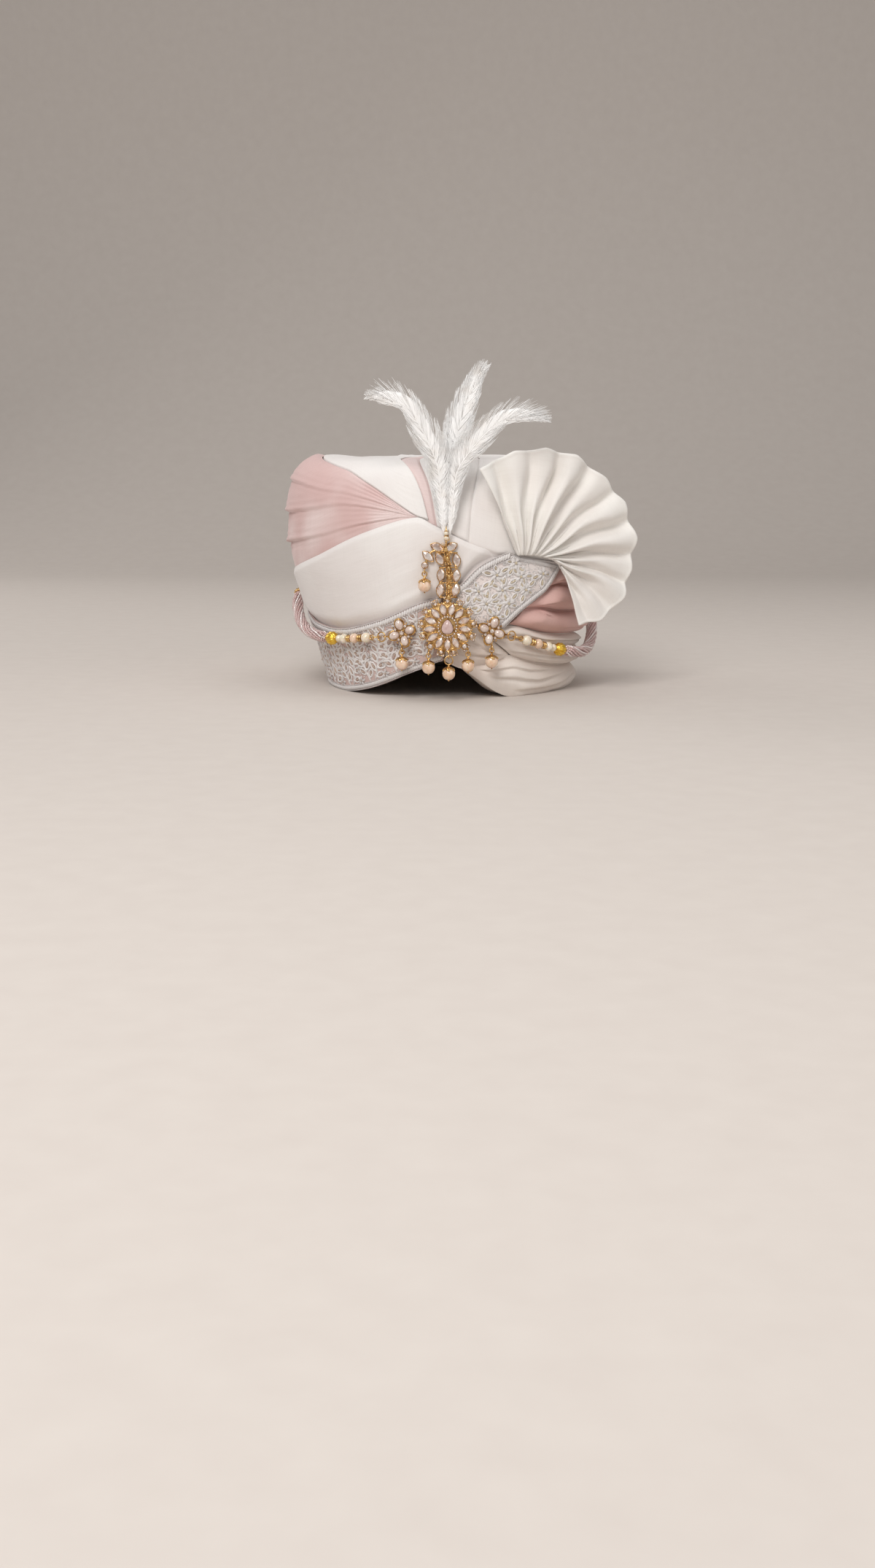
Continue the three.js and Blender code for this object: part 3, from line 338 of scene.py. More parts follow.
PEACH_PEARL = pearl_finish("peach_pearl", (243, 216, 192), (226, 188, 156), 0.16)
CREAM_PEARL = pearl_finish("cream_pearl", (246, 236, 218), (224, 204, 174), 0.18)
SEED = stone("seed_glass", (252, 226, 222), (238, 202, 198), 0.0, 0.05, 300, 0.4)
# Clear glass seed beads, whitened nearly to white so that their strands give the rope painted glints.
CLEAR_GLINT_SEED = stone("clear_seed_glass_painted_glint", (255, 248, 246), (250, 232, 229), 0.3, 0.03, 300, 0.2)
FEATHER = downy("white_feather", (253, 252, 251), (243, 239, 235))
CORD = woven("tie_cord", (226, 206, 170), (186, 160, 118), (214, 192, 152), 60, 0.2)


# Shape tables


def table(columns, *rows):
    """Rows of a shape table, kept as named columns. Rows that aren't placed are numbered from 0."""
    shape = {name: np.array(column, float) for name, column in zip(columns.split(), zip(*rows))}
    shape.setdefault("at", np.arange(len(rows), dtype=float))
    return shape


CROWN = table(
    "rise height left right front back",
    (0, 0, 86, 95, 108, 113),
    (22, 22, 92, 100, 113, 118),
    (44, 43, 98, 104, 116.5, 122),
    (75, 73, 107.5, 109, 119, 126),
    (105, 102, 116, 114, 121, 129),
    (133, 130, 117.5, 116, 120.5, 129),
    (155, 150, 116, 112, 116, 124),
    (173, 164, 110, 104, 108, 116),
    (188, 171, 97, 91, 94, 101),
    (214, 173.4, 67, 64, 67, 73),
    (250, 174.4, 28, 28, 29, 32),
    (276, 174.6, 0.6, 0.6, 0.6, 0.6),
)
HOLLOW = table(
    "rise height left right front back",
    (0, 0, 78, 80, 98, 100),
    (55, 55, 79, 80, 98, 101),
    (90, 90, 74, 75, 93, 95),
    (115, 112, 60, 61, 76, 78),
    (140, 126, 38, 38, 48, 50),
    (175, 133, 4, 4, 5, 5),
)
RIM = table(
    "turn rise",
    (-90, 0), (-57, 0), (-35, 6.5), (-10, 22.5), (2, 29.5), (12, 18.5), (24, 4.5), (34, 0), (90, 0),
)
BORDER_TOP = table(
    "turn rise",
    (-258, 55), (-180, 58), (-110, 60), (-83, 59), (-71, 54), (-47, 51.5), (-25, 60.5), (-9, 73.5),
    (0, 79.5), (4, 83.5), (8, 93), (12, 101.5), (18, 108), (23, 110.5),
)
WHITE_TOP = table(
    "turn rise",
    (-258, 98), (-180, 96), (-110, 92), (-84, 94.5), (-53, 106.5), (-27, 126), (-9, 136.5),
    (-3, 131), (5, 122.5), (12, 116.5), (21, 110.6),
)
PLEAT_TOP = table(
    "turn rise",
    (-258, 168), (-180, 184), (-120, 191), (-86, 192.5), (-41, 175.5), (-27, 161.5), (-17, 148),
    (-9.5, 137.6), (-5, 134.4),
)
STRIPE_LEFT = table(
    "rise turn", (134, -5), (157, -8), (174, -12), (192, -19), (215, -27), (270, -38),
)
STRIPE_RIGHT = table("rise turn", (130, -2), (162, -5), (188, -10), (215, -13), (270, -15))
RIGHT_CREASE = table(
    "rise turn", (118, 9), (142, 10), (161, 12), (188, 17), (215, 25), (270, 40),
)
RIGHT_END = table("rise turn", (0, 101.4), (270, 101.4))
RIGHT_LOW = table(
    "turn rise", (9, 119.8), (12, 117.2), (20, 112), (23, 111.6), (49, 103.6), (61, 102.4), (101, 102.4),
)
SLANT = "at low_turn low_rise top_turn top_rise"
STRIP = table(
    SLANT,
    (0, 24, 55.6, 1.3, 61), (0.2, 28, 62, 2.6, 80.6), (0.4, 32, 68.5, 7, 89.6),
    (0.6, 37.5, 76, 12, 100.4), (0.8, 43, 84, 18, 107), (1, 49, 102, 22.6, 109.6),
)
ROLL_FRONT = table(
    SLANT,
    (0, 1.3, 30, 1.3, 59.6), (0.35, 8, 24.6, 8, 57.8), (0.6, 14, 25.4, 13.6, 56),
    (0.8, 20, 27, 18.6, 47.2), (1, 28.4, 31.2, 28.4, 33.2),
)
ROLL_BOTTOM_TOP = table(
    "turn rise",
    (10, 22.6), (14, 24.4), (20, 25.8), (29, 30.6), (36, 26.9), (48, 21.9), (68, 17.9), (101, 15.6),
)
FOLD_LOWER = table(
    SLANT,
    (0, 29.4, 32.4, 19.6, 46), (0.2, 36, 28, 31, 44.8), (0.45, 48, 23, 46, 37),
    (0.7, 68, 19, 68, 31.4), (1, 101, 16.6, 101, 33),
)
FOLD_UPPER = table(
    SLANT,
    (0, 19.2, 47.6, 15.4, 55.8), (0.15, 26, 47.2, 24.6, 54.2), (0.3, 34, 44.8, 31, 54),
    (0.5, 46, 38.4, 46, 47.2), (0.75, 70, 32.4, 72, 42.6), (1, 101, 34, 101, 39.6),
)
ROSE_FOLD_LOWER = table(
    SLANT,
    (0, 28, 57, 33.2, 67), (0.25, 36, 53.4, 42, 66.6), (0.5, 50, 47.6, 52, 63.4),
    (0.75, 72, 44, 72, 61), (1, 101, 40.8, 101, 60),
)
ROSE_FOLD_MIDDLE = table(
    SLANT,
    (0, 34.2, 68.8, 42.8, 80.4), (0.25, 43, 67.8, 49, 84.4), (0.5, 53, 64.6, 58, 83),
    (0.75, 73, 62.2, 73, 80.5), (1, 101, 61.2, 101, 79),
)
ROSE_FOLD_UPPER = table(
    SLANT,
    (0, 43.8, 82.6, 49.6, 96), (0.25, 50, 85.8, 53, 100.2), (0.5, 59, 84.4, 61, 101),
    (0.75, 74, 81.8, 75, 101.4), (1, 101, 80.2, 101, 101.4),
)
FAN_RIDGES = table(
    "angle reach",
    (-42, 84), (-20.5, 80), (-2.5, 77.5), (17.5, 76), (41, 74.5), (59, 76), (81.5, 77.5), (99, 74.5),
    (115, 75), (137, 68.5), (152, 60),
)
ROUTES = {
    "left": table(
        "turn rise lift",
        (-33, 47.5, 10), (-44, 46, 10.6), (-55, 46, 11.4), (-70, 49, 11.8), (-84, 56, 12),
        (-94, 65, 12.5), (-102, 73, 12.5),
    ),
    "right": table(
        "turn rise lift",
        (37, 43, 13), (47, 38, 14), (57, 34, 14.5), (69, 32, 15.5), (82, 36, 16), (94, 49, 16),
        (103, 62, 14.5),
    ),
}
BACK_ROUTE = table(
    "turn rise lift",
    (-107, 78.5, 10.6), (-116, 80, 8.8), (-140, 80, 8.2), (-180, 80, 8.2), (-220, 80, 8.4),
    (-240, 77, 9.4), (-252, 70.5, 12.4),
)
CREST_STONES = (
    (-5.1, 26.9, -8), (-4.6, 37.8, -6), (-5.6, 49.2, 28), (-7.4, 57.6, 68), (-14, 51, 48),
    (5.7, 26.9, -14), (6.4, 37.2, -6), (6.5, 48.3, 8), (2.4, 57.6, -62),
)
FEATHERS = {
    "left": table(
        "x y z half",
        (-2.4, 66, 3, 2), (-4.8, 96, 4, 6.5), (-8.5, 119, 5, 8.5), (-24.5, 150.5, 8, 8.5),
        (-43, 161.5, 10, 6), (-58.6, 163.6, 12, 1.3),
    ),
    "middle": table(
        "x y z half",
        (-0.4, 66, 1, 2), (1, 104.5, 0, 6), (4.8, 130.5, -1.5, 8), (10.5, 150.5, -3, 8.5),
        (18, 170.5, -5, 7), (29.5, 188, -8, 1.6),
    ),
    "right": table(
        "x y z half",
        (1.6, 66, 3, 2), (4.8, 100, 4, 6), (10.5, 118, 5, 8), (32.3, 142.5, 8, 8),
        (53, 149.5, 10, 6), (73, 147.5, 11, 1.3),
    ),
}


# Places


def mix(low, high, share):
    return low + (high - low) * share


def smooth(share):
    share = np.clip(share, 0, 1)
    return share * share * (3 - 2 * share)


def unit(vectors):
    return vectors / np.maximum(np.linalg.norm(vectors, axis=-1, keepdims=True), 1e-9)


def rotated(a, b, angle):
    c = np.cos(angle)
    s = np.sin(angle)
    return a * c - b * s, a * s + b * c


def hermite(t, start, leave, end, reach):
    """A smooth step between two values, which leaves one and reaches the other at given slopes."""
    first = (2 * t**3 - 3 * t**2 + 1) * start + (t**3 - 2 * t**2 + t) * leave
    return first + (3 * t**2 - 2 * t**3) * end + (t**3 - t**2) * reach


def read(shape, key, column, at):
    """One column of a table, on a smooth curve through its rows, clamped to the table."""
    x = shape[key]
    y = shape[column]
    at = np.clip(at, x[0], x[-1])
    low = np.maximum(np.arange(len(x)) - 1, 0)
    high = np.minimum(np.arange(len(x)) + 1, len(x) - 1)
    slope = (y[high] - y[low]) / (x[high] - x[low])
    i = np.clip(np.searchsorted(x, at) - 1, 0, len(x) - 2)
    width = x[i + 1] - x[i]
    return hermite((at - x[i]) / width, y[i], width * slope[i], y[i + 1], width * slope[i + 1])


border_top = partial(read, BORDER_TOP, "turn", "rise")
white_top = partial(read, WHITE_TOP, "turn", "rise")
pleat_top = partial(read, PLEAT_TOP, "turn", "rise")
over_strip = partial(read, RIGHT_LOW, "turn", "rise")
bottom_roll_top = partial(read, ROLL_BOTTOM_TOP, "turn", "rise")
stripe_left = partial(read, STRIPE_LEFT, "rise", "turn")
stripe_right = partial(read, STRIPE_RIGHT, "rise", "turn")
right_crease = partial(read, RIGHT_CREASE, "rise", "turn")
right_end = partial(read, RIGHT_END, "rise", "turn")


def rim_rise(turn):
    return np.maximum(0, read(RIM, "turn", "rise", np.where(np.abs(turn) > 90, 90, turn)))


def over_white(turn):
    return white_top(turn) + 1.6 * SEAM


def slantwise(shape, u, v):
    turn = mix(read(shape, "at", "low_turn", u), read(shape, "at", "top_turn", u), v)
    rise = mix(read(shape, "at", "low_rise", u), read(shape, "at", "top_rise", u), v)
    return turn, rise


def section(form, turn, rise):
    """A point of a sectioned form: each quarter of a section is a quarter of an ellipse."""
    columns = ("height", "left", "right", "front", "back")
    height, left, right, front, back = (read(form, "rise", column, rise) for column in columns)
    s = np.sin(np.radians(turn))
    c = np.cos(np.radians(turn))
    return np.stack([np.where(s < 0, left, right) * s, -np.where(c > 0, front, back) * c, height], -1)


def degree_along(turn, rise):
    """The step that one degree of turn makes on the wound body."""
    return section(CROWN, turn + 0.5, rise) - section(CROWN, turn - 0.5, rise)


def degree(turn, rise):
    """Millimetres to one degree of turn."""
    return np.linalg.norm(degree_along(turn, rise), axis=-1)


def on_crown(turn, rise, lift):
    """Points that stand off the wound body by lift, along its normal. The back seam wanders a little."""
    turn, rise, lift = np.broadcast_arrays(turn, rise, lift)
    beside = smooth((turn - 82) / 18) + smooth((-238 - turn) / 18)
    turn = turn + beside * SEAM_WANDER * np.sin((rise - 66) / 23)
    up = section(CROWN, turn, rise + 0.5) - section(CROWN, turn, rise - 0.5)
    normal = unit(np.cross(degree_along(turn, rise), up))
    return section(CROWN, turn, rise) + normal * lift[..., None]


def turn_of(distance, rise):
    """The turn that a distance along the cloth takes up, at a given rise."""
    return np.degrees(distance / read(CROWN, "rise", "front", rise))


def stand(points, place, turn=0):
    """From a frame with x to the right, y up and z to the front, to a place on the turban."""
    points = np.asarray(points, float)
    x, y = rotated(points[..., 0], -points[..., 2], math.radians(turn))
    return np.stack([x, y, points[..., 1]], -1) + np.asarray(place, float)


def off_floor(points, least=0):
    points[..., 2] = np.maximum(points[..., 2], least)
    return points


def spaced(count, crowd, start=0.0, end=1.0):
    """Steps from start to end that crowd together at both ends."""
    t = np.linspace(0, 1, count + 1)
    return mix(start, end, t - crowd * np.sin(2 * np.pi * t) / (2 * np.pi))


def uneven(a, b, length, seed):
    """Soft unevenness between about -1 and 1, over two distances, at a given wavelength."""
    waves = np.random.default_rng(seed)
    total = 0
    for _ in range(6):
        angle = waves.uniform(0, 2 * np.pi)
        phase = waves.uniform(0, 2 * np.pi)
        pitch = 2 * np.pi / (length * waves.uniform(0.7, 1.6))
        total = total + np.sin(pitch * (a * np.cos(angle) + b * np.sin(angle)) + phase)
    return total / 3.5


def gathered(turn, rise):
    """Lift of the small gathers that run in to the crown's middle."""
    close = smooth((rise - 222) / 34) * smooth((POLE_RISE - rise) / 9)
    bend = 1.1 * np.sin(rise / 11) + 0.9 * np.sin(np.radians(5 * turn))
    return 0.55 * close * np.sin(np.radians(17 * turn) + bend)


def lap(distance, height, reach):
    """Lift of a tuck that stands over its edge and dies away above it."""
    return height * smooth(distance / 0.9 + 0.5) * np.exp(-np.maximum(distance, 0) / reach)


def hump(distance, width):
    """1 on a line, dying away to both sides of it."""
    return np.exp(-((distance / width) ** 2))


def groove(distance, depth, width):
    return -depth * hump(distance, width)


# Meshes


def mesh_object(name, points, faces, smooth_faces=True):
    mesh = bpy.data.meshes.new(name)
    mesh.from_pydata((np.asarray(points) * MM).tolist(), [], faces)
    flags = np.broadcast_to(smooth_faces, len(faces))
    mesh.polygons.foreach_set("use_smooth", np.ascontiguousarray(flags))
    piece = bpy.data.objects.new(name, mesh)
    bpy.context.scene.collection.objects.link(piece)
    return piece


def lay_uv(piece, values):
    """A UV map from one pair of values for each point of the mesh."""
    mesh = piece.data
    corners = np.empty(len(mesh.loops), int)
    mesh.loops.foreach_get("vertex_index", corners)
    layer = mesh.uv_layers.new(name="cloth")
    layer.data.foreach_set("uv", np.asarray(values)[corners].astype(np.float32).ravel())


def grid_faces(ids):
    corners = (ids[:-1, :-1], ids[1:, :-1], ids[1:, 1:], ids[:-1, 1:])
    return np.stack(corners, -1).reshape(-1, 4)


def ring_ids(rows, count):
    """Numbers of the points of a grid whose rows close on themselves."""
    ids = np.arange(rows * count).reshape(rows, count)
    return np.concatenate([ids, ids[:, :1]], axis=1)


def runs(points, axis):
    """Distance along the rows or columns of a grid, from the start and to the end."""
    steps = np.linalg.norm(np.diff(points, axis=axis), axis=-1)
    there = np.insert(np.cumsum(steps, axis=axis), 0, 0, axis=axis)
    return there, there.take([-1], axis=axis) - there


def edge_share(points, radius):
    """From 0 on a sheet's edge to 1 further in, as a rounded fold rises."""
    near = np.minimum(np.minimum(*runs(points, 0)), np.minimum(*runs(points, 1)))
    return np.sqrt(1 - (1 - np.clip(near / radius, 0, 1)) ** 2)


def grid_area(points):
    a = points[1:, 1:] - points[:-1, :-1]
    b = points[1:, :-1] - points[:-1, 1:]
    return np.linalg.norm(np.cross(a, b), axis=-1).sum() / 2


def doubled(outer, inner):
    """The points and faces of a closed sheet between two grids of points."""
    n, m = outer.shape[:2]
    ids = np.arange(n * m).reshape(n, m)
    under = ids + n * m
    faces = [grid_faces(ids), grid_faces(under.T)]
    edges = (
        (ids[:, -1], under[:, -1]),
        (ids[::-1, 0], under[::-1, 0]),
        (ids[0], under[0]),
        (ids[-1, ::-1], under[-1, ::-1]),
    )
    for over, below in edges:
        faces.append(np.stack([over[:-1], over[1:], below[1:], below[:-1]], -1))
    return np.concatenate([outer.reshape(-1, 3), inner.reshape(-1, 3)]), np.concatenate(faces).tolist()


def shell(name, outer, inner):
    """A closed sheet of cloth, with its runs along and across as UV."""
    piece = mesh_object(name, *doubled(outer, inner))
    along = runs(outer, 0)[0].mean(axis=1, keepdims=True) + np.zeros((1, outer.shape[1]))
    across = runs(outer, 1)[0]
    flat = np.stack([along, across], -1).reshape(-1, 2) / 100
    lay_uv(piece, np.concatenate([flat, flat]))
    return piece


def own(piece, slot, materials, *nodes, body="turban"):
    """Gives a piece its finishes and the body that carries it, and hides the CAD nodes that it stands for.
    """
    for material in materials:
        piece.data.materials.append(material)
    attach(piece, body)
    if nodes:
        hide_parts(*nodes)
    return piece


def cloth_slot(material):
    return "rose_cloth" if material in (ROSE, SHADED_MAUVE_ROSE) else "ivory_cloth"


def cloth_on_crown(name, turn, rise, lift, thick=1.6):
    """A sheet over the crown, with its outer face at lift and its edges folded round."""
    turn, rise, lift = np.broadcast_arrays(turn, rise, lift)
    middle = on_crown(turn, rise, lift)
    fold = 0.47 * thick * (1 - edge_share(middle, 1.4))
    outer = on_crown(turn, rise, lift - fold)
    inner = on_crown(turn, rise, np.maximum(lift - thick + fold, np.minimum(0.1, lift - 0.2)))
    return shell(name, off_floor(outer), off_floor(inner)), middle


def declare_sheet(middle, with_pieces=()):
    """Works out the size that a sheet was cut to, its longest and widest run and its area, and keeps none of
    it.
    """
    length = runs(middle, 0)[0].max() * MM
    width = runs(middle, 1)[0].max() * MM
    area = min(grid_area(middle) * MM * MM, 0.999 * length * width)


# Cloth


def wound_body():
    """The wound cloth of the crown, thick and open below, with its turns showing in the hollow."""
    turn = np.linspace(-180, 180, 121)[:-1]
    rim = rim_rise(turn)
    rows = []
    for rise in np.linspace(273, 3, 46):
        sunk = mix(-2.0, 1.7, smooth((rise - 240) / 28)) if rise > 140 else -0.6
        rows.append(on_crown(turn, np.maximum(rise, rim + 1.5), sunk))
    rows.append(section(CROWN, turn, rim) * (0.992, 0.992, 1))
    rows.append(section(HOLLOW, turn, rim) * (1.012, 1.012, 1))
    for rise in np.linspace(2.5, 170, 48):
        up = np.maximum(rise, rim + 1)
        winding = ((up / 13 + turn / 360) % 1) ** 3
        fullness = 1 - 0.014 * winding - 0.004 * uneven(turn, up, 40, 3)
        rows.append(section(HOLLOW, turn, up) * np.stack([fullness, fullness, np.ones_like(turn)], -1))
    grid = np.stack(rows)
    n, m = grid.shape[:2]
    ids = ring_ids(n, m)
    faces = grid_faces(ids).tolist()
    crown_pole = n * m
    hollow_pole = crown_pole + 1
    for k in range(m):
        faces.append([crown_pole, int(ids[0, k]), int(ids[0, k + 1])])
        faces.append([int(ids[-1, k]), hollow_pole, int(ids[-1, k + 1])])
    poles = [[0, 0, 177.2], [0, 0, 132.6]]
    piece = mesh_object("wound_lining", np.concatenate([grid.reshape(-1, 3), poles]), faces)
    along, across = np.broadcast_arrays(turn * 0.019, np.arange(n)[:, None] * 0.035)
    lay_uv(piece, np.concatenate([np.stack([along, across], -1).reshape(-1, 2), [[0, 0], [0, 2]]]))
    own(piece, "ivory_cloth", [LINING], "wound_body")


def border_band():
    turn = mix(BACK_SEAM, 0.4, spaced(180, 0.6))[:, None]
    rise = mix(rim_rise(turn), border_top(turn), spaced(22, 0.7)[None, :])
    lift = BORDER_LIFT + 0.12 * uneven(turn * 2, rise, 34, 11)
    return cloth_on_crown("border_cloth", turn, rise, lift, 2.4)


def cross_strip():
    u = spaced(56, 0.6)[:, None]
    v = spaced(40, 0.7)[None, :]
    turn, rise = slantwise(STRIP, u, v)
    lift = STRIP_LIFT + 0.3 * np.sin(np.pi * v) + 0.1 * uneven(u * 60, v * 60, 30, 12)
    return cloth_on_crown("strip_cloth", turn, rise, lift, 2.4)


def white_wrap():
    turn = mix(BACK_SEAM - 1, 20.5, spaced(160, 0.6))[:, None]
    low = border_top(turn)
    top = white_top(turn)
    rise = mix(low - 5, top, spaced(48, 0.75)[None, :])
    over = rise - low
    lift = mix(1.5, 5.6, smooth((over + 0.5) / 10) ** 0.7)
    lift += 0.32 * uneven(turn * 2, rise, 70, 21) * smooth(over / 20)
    near = hump(turn + 12, 20)
    lift += near * groove(over - 8 - 0.25 * (turn + 30), 1.1, 5)
    lift += near * groove(over - 21 - 0.1 * turn, 0.5, 4)
    back = smooth((-100 - turn) / 30)
    for share, seed in ((0.38, 22), (0.68, 23)):
        line = mix(low, top, share) + 2.5 * np.sin(turn / 24 + seed)
        lift += back * lap(rise - line, 1.3, 14)
    lift -= 1.5 * smooth(1 - (top - rise) / 4.5)
    lift = mix(np.minimum(lift, 2.4), lift, smooth((turn - BACK_SEAM + 1) / 4.5))
    return cloth_on_crown("white_wrap_cloth", turn, rise, lift)


def under_seam(turn, lift):
    """Lowers the start of a wrap, where it goes under the wrap in front of the back seam."""
    return mix(np.minimum(lift, 2.0), lift, smooth((turn - BACK_SEAM + 1.7) / 1.5))


def rose_pleats():
    """Three main pleats, each at a share of the width, with its strength and how far it wanders."""
    pleats = ((0.19, 1.0, 0.6), (0.475, 0.9, -0.8), (0.69, 0.6, 0.9))
    side_tucks = ((-4.4, 0.75, 1.1), (-9.5, 0.4, 1.2), (5.4, 0.6, 1.2))
    turn = mix(BACK_SEAM - 4, -8.4, spaced(170, 0.6))[:, None]
    low = white_top(turn)
    top = pleat_top(turn)
    rise = mix(low - 5, top, spaced(96, 0.6)[None, :])
    width = top - low
    over = rise - low
    gather = smooth((-9 - turn) / 46)
    scale = mix(0.35, 1, gather)
    shoulder = hump(turn + 88, 30) * np.clip(over / width, 0, 1) ** 4
    curl = mix(1, 0.55, smooth((over - width + 5) / 5))
    lift = mix(1.4, 2.9, smooth((over + 5) / 6)) + 6 * shoulder * curl
    shown = hump(turn + 92, 34) + 0.65 * hump(turn + 20, 12)
    shown = np.clip(shown + 0.55 * smooth((-95 - turn) / 25) + 0.12, 0, 1)
    for share, strength, wander in pleats:
        away = over - (share * width + gather * wander * 3 * np.sin(turn / 17))
        side = shown * strength
        lift += side * lap(away, 3.3 * scale, 13 * scale)
        lift += side * groove(away + 1.3 * scale, 0.9 * scale, 1.2 * scale)
        for shift, depth, spread in side_tucks:
            lift += side * gather * groove(away + shift, depth, spread)
    fine = np.sin(2 * np.pi * over / np.maximum(width * 0.085, 1.2)) * hump(turn + 18, 16)
    lift += 0.28 * fine * smooth(over / 6) + 0.28 * gather * uneven(turn * 1.2, rise * 1.6, 34, 31)
    return cloth_on_crown("rose_pleats_cloth", turn, rise, under_seam(turn, lift))


def white_top_wrap():
    u = spaced(130, 0.6)[:, None]
    v = mix(-0.055, 1, np.linspace(0, 1, 66) ** 1.15)[None, :]
    forward = 1 - (1 - u) ** 1.3
    climb = np.where(v < 0, v, np.abs(v) ** 1.3)
    rise = mix(160, POLE_RISE, climb) + 0 * u
    for _ in range(5):
        turn = mix(BACK_SEAM - 4, stripe_left(rise) + turn_of(0.6, rise), forward)
        rise = mix(pleat_top(turn) + SEAM, POLE_RISE, climb)
    over = rise - pleat_top(turn)
    seam = smooth((over + 0.8) / 2.2)
    flat = smooth((POLE_RISE - rise) / 40)
    back = smooth((-95 - turn) / 40)
    lift = 0.5 + 2.7 * seam + 3.4 * hump(turn + 88, 30) * hump(over, 18) * seam
    lift += flat * 0.3 * uneven(turn, rise * 1.4, 60, 41) * smooth(over / 12)
    for share, seed in ((0.3, 2), (0.58, 4)):
        line = share * (POLE_RISE - pleat_top(turn)) + 3 * np.sin(turn / 30 + seed)
        lift += back * flat * lap(over - line, 1.2, 12)
    lift += gathered(turn, rise)
    return cloth_on_crown("white_top_cloth", turn, rise, under_seam(turn, lift), 1.4)


def rising_wrap(name, left, right, low, cells, lift, tucks, seed):
    """A wrap up the front between two edges. Tucks say how far it goes under each neighbour, and how low."""
    u = spaced(cells[0], 0.7)[:, None]
    v = spaced(cells[1], 0.6)[None, :]
    foot = low(mix(left(FOOT_RISE), right(FOOT_RISE), u)) - 5
    rise = mix(foot, POLE_RISE, v)
    start = left(rise) + turn_of(0.4, rise)
    end = right(rise) - turn_of(0.4, rise)
    turn = mix(start - turn_of(tucks[0][0], rise), end + turn_of(tucks[1][0], rise), u)
    height = lift + 0 * turn
    for (reach, low_lift), away in zip(tucks, (turn - start, end - turn)):
        if reach:
            inside = away / turn_of(1, rise)
            height = np.minimum(height, mix(low_lift, lift, smooth((inside + 0.4) / 1.4)))
    height = np.minimum(height, mix(1.6, lift, smooth((rise - foot - 2) / 3)))
    flat = smooth((POLE_RISE - rise) / 40)
    height += 0.25 * flat * uneven(turn * 2, rise, 46, seed) + gathered(turn, rise)
    height += 0.9 * smooth((turn - 95) / 5)
    return cloth_on_crown(name, turn, rise, height, 1.4)


STRIPE_WRAP = (stripe_left, stripe_right, over_white, (22, 66), 2.5, ((3, 1.2), (3, 1.2)), 61)
INNER_WRAP = (stripe_right, right_crease, over_white, (30, 66), 3.1, ((0, 0), (4, 2.1)), 62)
OUTER_WRAP = (right_crease, right_end, over_strip, (70, 64), 3.9, ((0, 0), (0, 0)), 63)
# Each roll takes a darker copy of its cloth, the ivory one or the rose one, as painted shade.
ROLLS = {
    "roll_front": (ROLL_FRONT, (1.0, 5.2, 0.6), WARM_SHADED_IVORY, [
        ((0.1, 0.75), (0.5, 0.62), (0.95, 0.4)), ((0.05, 0.4), (0.6, 0.3), (0.9, 0.28)),
    ]),
    "fold_lower": (FOLD_LOWER, (0.8, 9, 0.5), WARM_SHADED_IVORY, [
        ((0.03, 0.35), (0.25, 0.42), (0.6, 0.66)), ((0.3, 0.2), (0.55, 0.3), (0.95, 0.35)),
    ]),
    "fold_upper": (FOLD_UPPER, (0.8, 7.5, 0.3), WARM_SHADED_IVORY, [
        ((0.35, 0.45), (0.6, 0.62), (0.95, 0.6)),
    ]),
    "rose_fold_lower": (ROSE_FOLD_LOWER, (0.8, 11, 0.3), SHADED_MAUVE_ROSE, [
        ((0.2, 0.98), (0.3, 0.82), (0.42, 0.72)), ((0.5, 0.3), (0.75, 0.36), (0.98, 0.34)),
    ]),
    "rose_fold_middle": (ROSE_FOLD_MIDDLE, (0.8, 11.5, 0.3), SHADED_MAUVE_ROSE, [
        ((0.12, 0.1), (0.26, 0.28), (0.4, 0.4)), ((0.55, 0.68), (0.8, 0.66), (0.98, 0.6)),
    ]),
    "rose_fold_upper": (ROSE_FOLD_UPPER, (0.8, 10.5, 0.3), SHADED_MAUVE_ROSE, [
        ((0.15, 0.3), (0.4, 0.42), (0.7, 0.4)),
    ]),
}


def roll_lift(u, v, edge, crown, start):
    ends = mix(start, 1, smooth(u * 3.4)) * mix(0.12, 1, smooth((1 - u) * 9))
    return edge + (crown - edge) * np.sin(np.pi * np.clip(v, 0, 1)) ** 0.52 * ends


def crease(u, v, path, width):
    """Distance across a roll from a crease that runs through pairs of u and v, and its fade."""
    us, vs = zip(*path)
    fade = smooth((u - us[0]) / 0.06) * smooth((us[-1] - u) / 0.1)
    return (v - np.interp(u, us, vs)) * width, fade


def roll(name, shape, lifts, material, creases):
    """A soft roll of cloth: round across, drawn in at its ends and pulled into creases."""
    u = spaced(84, 0.55)[:, None]
    v = spaced(36, 0.6, -0.05, 1.05)[None, :]
    turn, rise = slantwise(shape, u, v)
    finish_roll(name, turn, rise, u, v, roll_lift(u, v, *lifts), creases, len(name), material)


def bottom_roll():
    u = spaced(116, 0.55)[:, None]
    v = spaced(42, 0.6, 0.0, 1.05)[None, :]
    turn = mix(10, 102.5, u)
    rise = mix(rim_rise(turn), bottom_roll_top(turn), v)
    lift = roll_lift(u, mix(0.14, 1, v), 0.8, 10, 0.2)
    creases = [
        ((0.05, 0.75), (0.3, 0.8), (0.5, 0.94)), ((0.1, 0.5), (0.35, 0.55), (0.62, 0.9)),
        ((0.22, 0.22), (0.45, 0.34), (0.8, 0.86)), ((0.45, 0.12), (0.65, 0.3), (0.95, 0.75)),
    ]
    # The bottom roll takes the darker ivory, which is painted shade.
    finish_roll("roll_bottom", turn, rise, u, v, lift, creases, 5, WARM_SHADED_IVORY)


